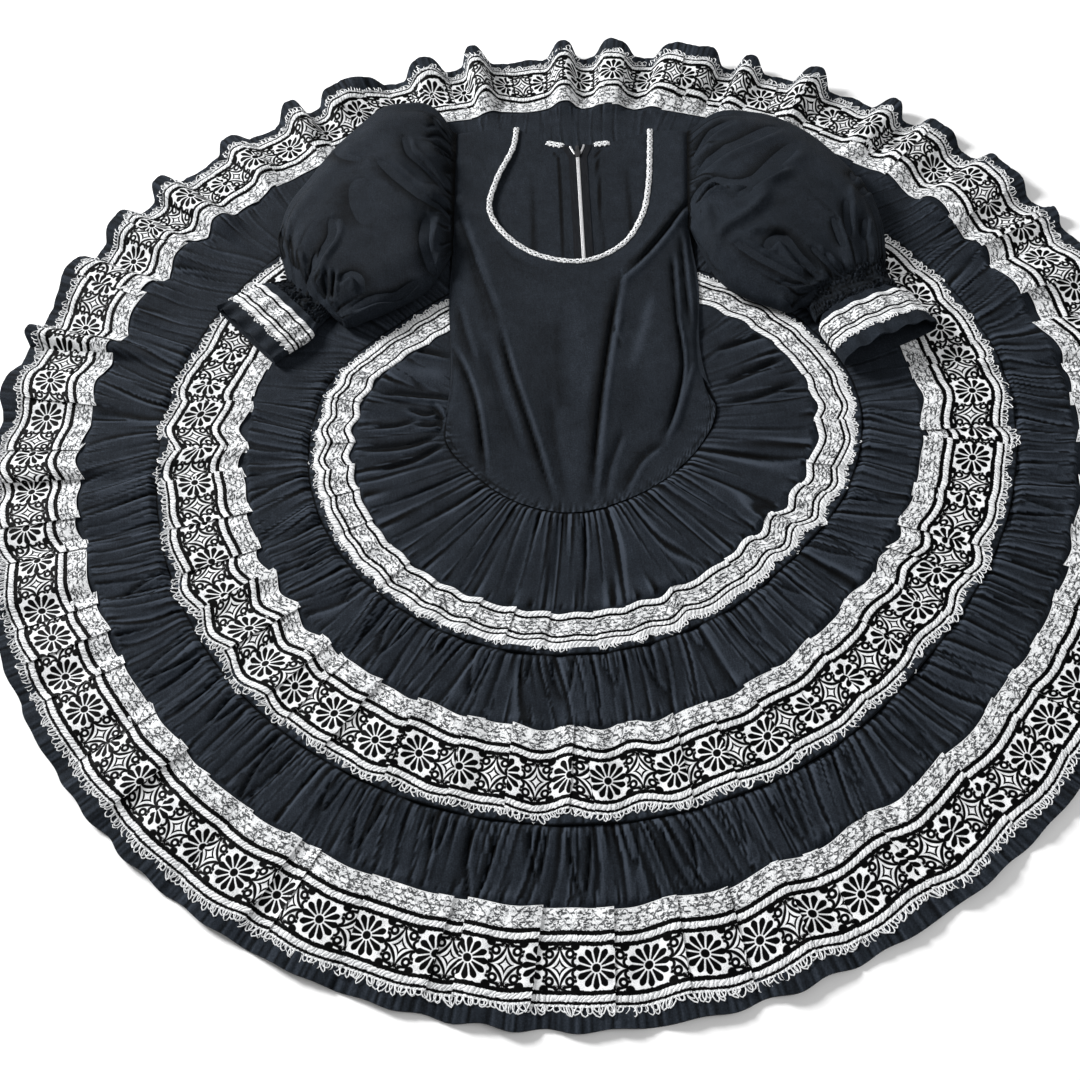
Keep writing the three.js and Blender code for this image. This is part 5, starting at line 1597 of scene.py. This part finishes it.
def daisy_mask(x, y, petals):
    """Black petals round a black heart, in millimetres from the flower's middle.

    A petal's half width is the least of a line that widens from the heart and the arc
    3.15 sqrt(1 - ((radius - 14.6) / 4.6)^2) at its end.
    """
    radius = (x * x + y * y).root()
    from_spoke = y.math("ARCTAN2", x).repeat(2 * math.pi / petals)
    off = (radius * from_spoke.math("SINE")).size()
    inner = (radius + -5.4) * 0.24 + 0.7
    outer = ((radius + -14.6) / 4.6).power(2.0).turned().more(0.0).root() * 3.15
    half = inner.less(outer.more(radius.below(14.4, 0.05) * 9.0))
    petal = (off - half).below(0.0, 0.3) * radius.between(5.2, 19.4, 0.3)
    heart = radius.below(3.9)
    return petal.more(heart)


def ring_mask(x, y, centre_x, centre_y, inner, outer):
    """1 where sqrt(dx^2 + dy^2) from a centre lies between two radii."""
    dx, dy = x + -centre_x, y + -centre_y
    return (dx * dx + dy * dy).root().between(inner, outer, 0.3)


def star_mask(x, y, half_x, half_y, bend=0.62):
    """A four-pointed star with hollow sides: |x / a|^bend + |y / b|^bend under 1."""
    total = (x.size() * (1 / half_x)).power(bend) + (y.size() * (1 / half_y)).power(bend)
    return total.below(1.0, 0.03)


def scroll_mask(x, y):
    """Nested hollow-sided stars in turns of black and white. In each corner lie a ring, a leaf that
    is half a ring, a slanted cap and a hook, all mirrored in both axes."""
    ax, ay = x.size(), y.size()
    outer = star_mask(x, y, 18.5, 22.5, 0.66) * star_mask(x, y, 13.6, 16.4, 0.62).turned()
    inner = star_mask(x, y, 8.6, 10.4, 0.62) * star_mask(x, y, 4.4, 5.2, 0.7).turned()
    rings = ring_mask(ax, ay, 9.6, 12.4, 1.7, 4.6)
    leaf = ring_mask(ax, ay, 15.8, 5.2, 2.4, 5.2) * ax.below(15.6)
    cap = (ay + -19.0 + ax * 0.16).between(-1.9, 0.9, 0.3) * ax.between(2.4, 13.0)
    hook = ring_mask(ax, ay, 3.2, 17.4, 1.2, 3.2) * ay.rise(15.3, 16.3)
    return outer.more(inner).more(rings).more(leaf).more(cap).more(hook)


SILVER_COLOURS = [(0.08, (0.02, 0.021, 0.023)), (0.36, (0.4, 0.41, 0.42)), (0.52, (0.74, 0.75, 0.76)),
                  (0.7, (0.86, 0.87, 0.88))]
BLACK_THREAD = (0.0008, 0.0009, 0.001, 1)
COLOUR_A, COLOUR_B, COLOUR_OUT = 6, 7, 2  # the colour sockets of a Mix node


def braid_colours(tree, shader, black, fleck_and_furrow_shade, height, distance):
    """Silver-white thread, darker at its flecks and at the painted shade of its cords' furrows, and black
    where the pattern is.
    """
    vector = tree.nodes.new("ShaderNodeTexCoord").outputs["UV"]
    grain = noise(tree, stretched(tree, vector, (700, 1500, 1)), 1.0, 2.0)
    cloud = noise(tree, stretched(tree, vector, (90, 90, 1)), 1.0, 2.0)
    tone = (grain * 0.6 + cloud * 0.4) * (fleck_and_furrow_shade * -0.8 + 1)
    blend = tree.nodes.new("ShaderNodeMix")
    blend.data_type = "RGBA"
    tree.links.new(black.socket, blend.inputs["Factor"])
    tree.links.new(ramp(tree, tone, SILVER_COLOURS), blend.inputs[COLOUR_A])
    blend.inputs[COLOUR_B].default_value = BLACK_THREAD
    tree.links.new(blend.outputs[COLOUR_OUT], shader.inputs["Base Color"])
    set_values(shader, {"Roughness": 0.55, "Specular IOR Level": 0.03})
    bump(tree, shader, height + grain * 0.35 + black * -0.7, distance, 0.9)


def cloth_places(tree):
    """Places along and across a braid, in millimetres, from its own map."""
    uv = tree.nodes.new("ShaderNodeTexCoord").outputs["UV"]
    split = add_node(tree, "SeparateXYZ", links={"Vector": uv})
    return Field(tree, split.outputs["X"]) * 1000.0, Field(tree, split.outputs["Y"]) * 1000.0, uv


def bands(field, edges, soft=0.35):
    """1 between the edges of any pair, and 0 elsewhere."""
    first, *rest = [field.between(low, high, soft) for low, high in edges]
    for band in rest:
        first = first.more(band)
    return first


def brocade(tree, along, across, uv, low, high, rows):
    """Dashes in staggered rows, like small bricks, with denser flecks in patches and two sets of
    slanted lines that cross as lozenges. Each part is where a place repeated along or across the
    braid is under some width."""
    pitch = (high - low) / rows
    wiggle = noise(tree, stretched(tree, uv, (150, 150, 1)), 1.0, 2.0)
    up = across + (wiggle + -0.5) * 2.6 + -low
    line = up.repeat(pitch).size()
    number = ((up + pitch / 2) * (1 / pitch)).math("FLOOR")
    brick = (along + number * 5.3 + wiggle * 6.0).repeat(7.4).size()
    dash = brick.below(2.5, 0.5)
    joint = brick.rise(3.1, 3.5) * line.below(1.9, 0.4)
    broken = (line.below(0.8, 0.3) * dash).more(joint * 0.6) * wiggle.rise(0.38, 0.5)
    flecks = noise(tree, stretched(tree, uv, (300, 420, 1)), 1.0, 3.0, 0.6).rise(0.5, 0.56)
    patches = (along + across * 0.3 + wiggle * 9.0).repeat(26.0).size().below(7.5, 2.5)
    rising, falling = ((along + across * slope + wiggle * 11.0).repeat(12.0).size().below(0.9, 0.35)
                       for slope in (0.9, -0.9))
    lozenges = rising.more(falling) * wiggle.rise(0.42, 0.5) * 0.9
    return broken.more(flecks * patches).more(lozenges) * across.between(low + 0.6, high - 0.4)


def rope(along, across, wobble):
    """Slanting turns of a twisted cord, as a height and as the furrows between them, which are painted darker
    as shade.
    """
    turn = (along + across * 0.7 + wobble * 9.0).repeat(4.6).size()
    return turn * -0.3, turn.rise(1.5, 2.1)


# The wide braid's pattern, in millimetres: a flower and a scroll take up PAIR along the braid, and
# their middles lie at PATTERN_MIDDLE across it
PAIR, PATTERN_MIDDLE, PETALS = 68.0, 55.2, 12


def wide_braid():
    """The wide braid: flecked ribbon, cord, daisies and scrolls, cord, and a thin edge cord."""
    material, tree, shader = new_material("wide woven braid")
    along, across, uv = cloth_places(tree)
    x, y = along.repeat(PAIR), across + -PATTERN_MIDDLE
    wobble = uneven(tree, uv, 110, 1.4)
    flower = daisy_mask(x + wobble, y, PETALS)
    other = (along + PAIR / 2).repeat(PAIR)
    scroll = scroll_mask(other, y + wobble) * other.size().below(16.2)
    corner_x, corner_y = x.size() + -19.4, y.size() + -19.6
    corner = (corner_x * corner_x + corner_y * corner_y).root().below(4.2)
    spandrel = ring_mask(x.size(), y.size(), 19.2, 12.0, -1.0, 1.6)
    pattern = flower.more(scroll).more(corner).more(spandrel) * across.between(34.4, 76.0)
    edge = across + wobble + uneven(tree, uv, 430, 2.4, 1.0)
    lines = bands(edge, [(21.0, 25.6), (31.4, 35.4), (75.2, 79.6), (85.4, 88.0)], 0.25)
    cords = bands(across, [(24.0, 33.0), (78.0, 90.0)])
    twist, furrow_shade = rope(along, across, wobble)
    # the cords' furrows, painted darker as shade, join the pattern's flecks
    flecks = brocade(tree, along, across, uv, 0.0, 21.0, 4).more(furrow_shade * cords * 0.5)
    braid_colours(tree, shader, pattern.more(lines), flecks, twist * cords, 0.0009)
    return material


def narrow_braid():
    """The narrow braid of the top tier and the cuffs: cord, flecked brocade, and two thin cords."""
    material, tree, shader = new_material("narrow woven braid")
    along, across, uv = cloth_places(tree)
    wobble = uneven(tree, uv, 60, 1.2)
    edge = across + wobble + uneven(tree, uv, 430, 2.0, 1.0)
    lines = bands(edge, [(6.4, 9.2), (26.2, 29.2), (32.9, 35.1)], 0.25)
    cords = across.below(8.0).more(across.between(28.0, 42.0))
    twist, furrow_shade = rope(along, across, wobble)
    # the cords' furrows, painted darker as shade, join the pattern's flecks
    flecks = brocade(tree, along, across, uv, 9.2, 26.4, 4).more(furrow_shade * cords * 0.5)
    braid_colours(tree, shader, lines, flecks, twist * cords, 0.0008)
    return material


def neck_braid():
    """The neck's chain-like braid: white links 7.5 mm long with a black dot in each."""
    material, tree, shader = new_material("chain braid")
    along, across, _ = cloth_places(tree)
    x = along.repeat(7.5)
    y = across + -4.4
    dot = ((x * 0.75) * (x * 0.75) + y * y * 1.5).root().below(1.3, 0.3)
    links = (x.size() + -3.1 + y.size() * 0.25).between(-0.3, 0.6, 0.25) * y.size().rise(0.4, 1.2)
    braid_colours(tree, shader, dot.more(links * 0.8), along * 0.0, (y * y) * -0.05, 0.0008)
    return material


def two_tone(name, scale, low, high, roughness, metallic=0.0):
    """A finish whose colour wanders with fine noise between two stops. Also its tree, its shader and
    the noise."""
    material, tree, shader = new_material(name)
    tone = noise(tree, object_places(tree), scale)
    tree.links.new(ramp(tree, tone, [low, high]), shader.inputs["Base Color"])
    set_values(shader, {"Roughness": roughness, "Metallic": metallic})
    return material, tree, shader, tone


def thread():
    """The white thread of the braids' loops."""
    material, tree, shader, tone = two_tone("white loop thread", 700.0, (0.25, (0.5, 0.51, 0.52)),
                                            (0.65, (0.8, 0.81, 0.82)), 0.6)
    bump(tree, shader, tone, 0.0003, 0.6)
    return material


def tape():
    """The zip's black woven tape."""
    material, tree, shader = new_material("zip tape")
    height, slub = woven(tree, object_places(tree), 5200.0)
    colour = ramp(tree, slub, [(0.2, (0.0035, 0.004, 0.005)), (0.8, (0.011, 0.0125, 0.016))])
    tree.links.new(colour, shader.inputs["Base Color"])
    set_values(shader, {"Roughness": 0.8, "Specular IOR Level": 0.08})
    bump(tree, shader, height, 0.0004, 0.6)
    return material


# Build

black = cotton()
wide, narrow, chain, white_thread = wide_braid(), narrow_braid(), neck_braid(), thread()
bright_metal = two_tone("bright zip metal", 900.0, (0.3, (0.6, 0.6, 0.61)), (0.7, (0.85, 0.85, 0.86)),
                        0.38, metallic=0.7)[0]
enamel = two_tone("black enamel", 600.0, (0.3, (0.01, 0.01, 0.011)), (0.8, (0.03, 0.03, 0.032)), 0.35)[0]

tiers = {(name, half): make_tier(name, half, black) for name in TIERS for half in ("front", "back")}
braids = {}
for name, braid in RING_BRAIDS.items():
    band, edge, outward = make_ring_braid(name, narrow if name == "tier1" else wide)
    loops = make_picots(f"{name}_braid_loops", edge, outward, RING_LOOP_SPACING, braid["loops"],
                        braid["seed"] + 40, white_thread)
    braids[name] = (band, loops)
front = make_front(black)
backs = {side: make_back(side, black) for side in ("left", "right")}
sleeves = {side: make_sleeve(side, black) for side in ("left", "right")}
for side, seed in (("left", 90), ("right", 91)):
    frill = make_cuff(side, black)
    band, edge, outward = make_cuff_braid(side, narrow)
    loops = make_picots(f"cuff_{side}_loops", edge, outward, CUFF_LOOP_SPACING, CUFF_LOOP, seed, white_thread)
neck = make_neck_braid(chain)
tapes = make_tapes(tape())
make_teeth(bright_metal)
make_slider(enamel)

# The flat cut of each piece, in metres, worked out from its area but not kept


def area_of(piece):
    """Half the surface of a thin shell."""
    mesh = piece.data
    areas = np.empty(len(mesh.polygons))
    mesh.polygons.foreach_get("area", areas)
    return float(areas.sum()) / 2


# A gathered tier is cut GATHER times as large as its shape and TIER_DEPTH deep. A braid is as long
# as its shape's area over its width, and a puffed sleeve is cut SLEEVE_EASE times its shape, at most
# SLEEVE_CUT square metres
GATHER = {"tier1": 1.3, "tier2": 1.3, "tier3": 1.2}
TIER_DEPTH = {"tier1": 0.185, "tier2": 0.185, "tier3": 0.192}
SLEEVE_EASE, SLEEVE_CUT = 1.05, 0.2244
for (name, half), piece in tiers.items():
    depth = TIER_DEPTH[name]
    round(area_of(piece) * GATHER[name] / depth, 3)
for name, (band, loops) in braids.items():
    width = TIERS[name]["braid_width"] * MM
    round(area_of(band) / width, 3)
for side, piece in sleeves.items():
    area = round(min(SLEEVE_CUT, area_of(piece) * SLEEVE_EASE), 4)
for piece in neck:
    area = area_of(piece)

# Floor, light and camera

bpy.ops.mesh.primitive_plane_add(size=14, location=(0, 0, -0.0005))
floor = bpy.context.object
floor.name = "floor"
material, tree, shader = new_material("pale floor")
set_values(shader, {"Base Color": (0.86, 0.86, 0.86, 1), "Roughness": 0.9})
floor.data.materials.append(material)


def area_light(name, place, size, power):
    """A square soft light that faces the dress."""
    lamp = bpy.data.lights.new(name, "AREA")
    lamp.shape = "SQUARE"
    lamp.size = size
    lamp.energy = power
    made = bpy.data.objects.new(name, lamp)
    made.location = place
    made.rotation_euler = (-Vector(place)).to_track_quat("-Z", "Y").to_euler()
    bpy.context.scene.collection.objects.link(made)


area_light("window", (-3.3, 2.7, 2.3), 1.3, 460)
area_light("fill", (2.2, -1.2, 2.4), 2.0, 40)
world = bpy.data.worlds.new("pale room")
world.use_nodes = True
set_values(world.node_tree.nodes["Background"], {"Color": (1, 1, 1, 1), "Strength": 0.34})
bpy.context.scene.world = world
bpy.context.scene.view_settings.view_transform = "Standard"

# The camera, fitted to the skirt's rings: its place from the ring's middle, how far it looks down,
# how far it leans over, and its focal length in pixels of the photo's frame
CAMERA_PLACE = np.array([-51.7, -999.5, 1262.0])
PITCH, ROLL = math.radians(56.1), math.radians(-6.87)
FOCAL_PIXELS, FRAME_PIXELS, SENSOR = 1400, 1080, 36.0
right = Vector((1, 0, 0))
ahead = Vector((0, math.cos(PITCH), -math.sin(PITCH)))
above = Vector((0, math.sin(PITCH), math.cos(PITCH)))
camera_right = math.cos(ROLL) * right + math.sin(ROLL) * above
camera_up = -math.sin(ROLL) * right + math.cos(ROLL) * above
turn = Matrix((camera_right, camera_up, -ahead)).transposed()
lens = bpy.data.cameras.new("camera")
lens.sensor_width = SENSOR
lens.lens = FOCAL_PIXELS / FRAME_PIXELS * SENSOR
lens.clip_end = 50
camera = bpy.data.objects.new("camera", lens)
camera.matrix_world = Matrix.Translation(Vector((CAMERA_PLACE + RING_CENTRE) * MM)) @ turn.to_4x4()
bpy.context.scene.collection.objects.link(camera)
bpy.context.scene.camera = camera
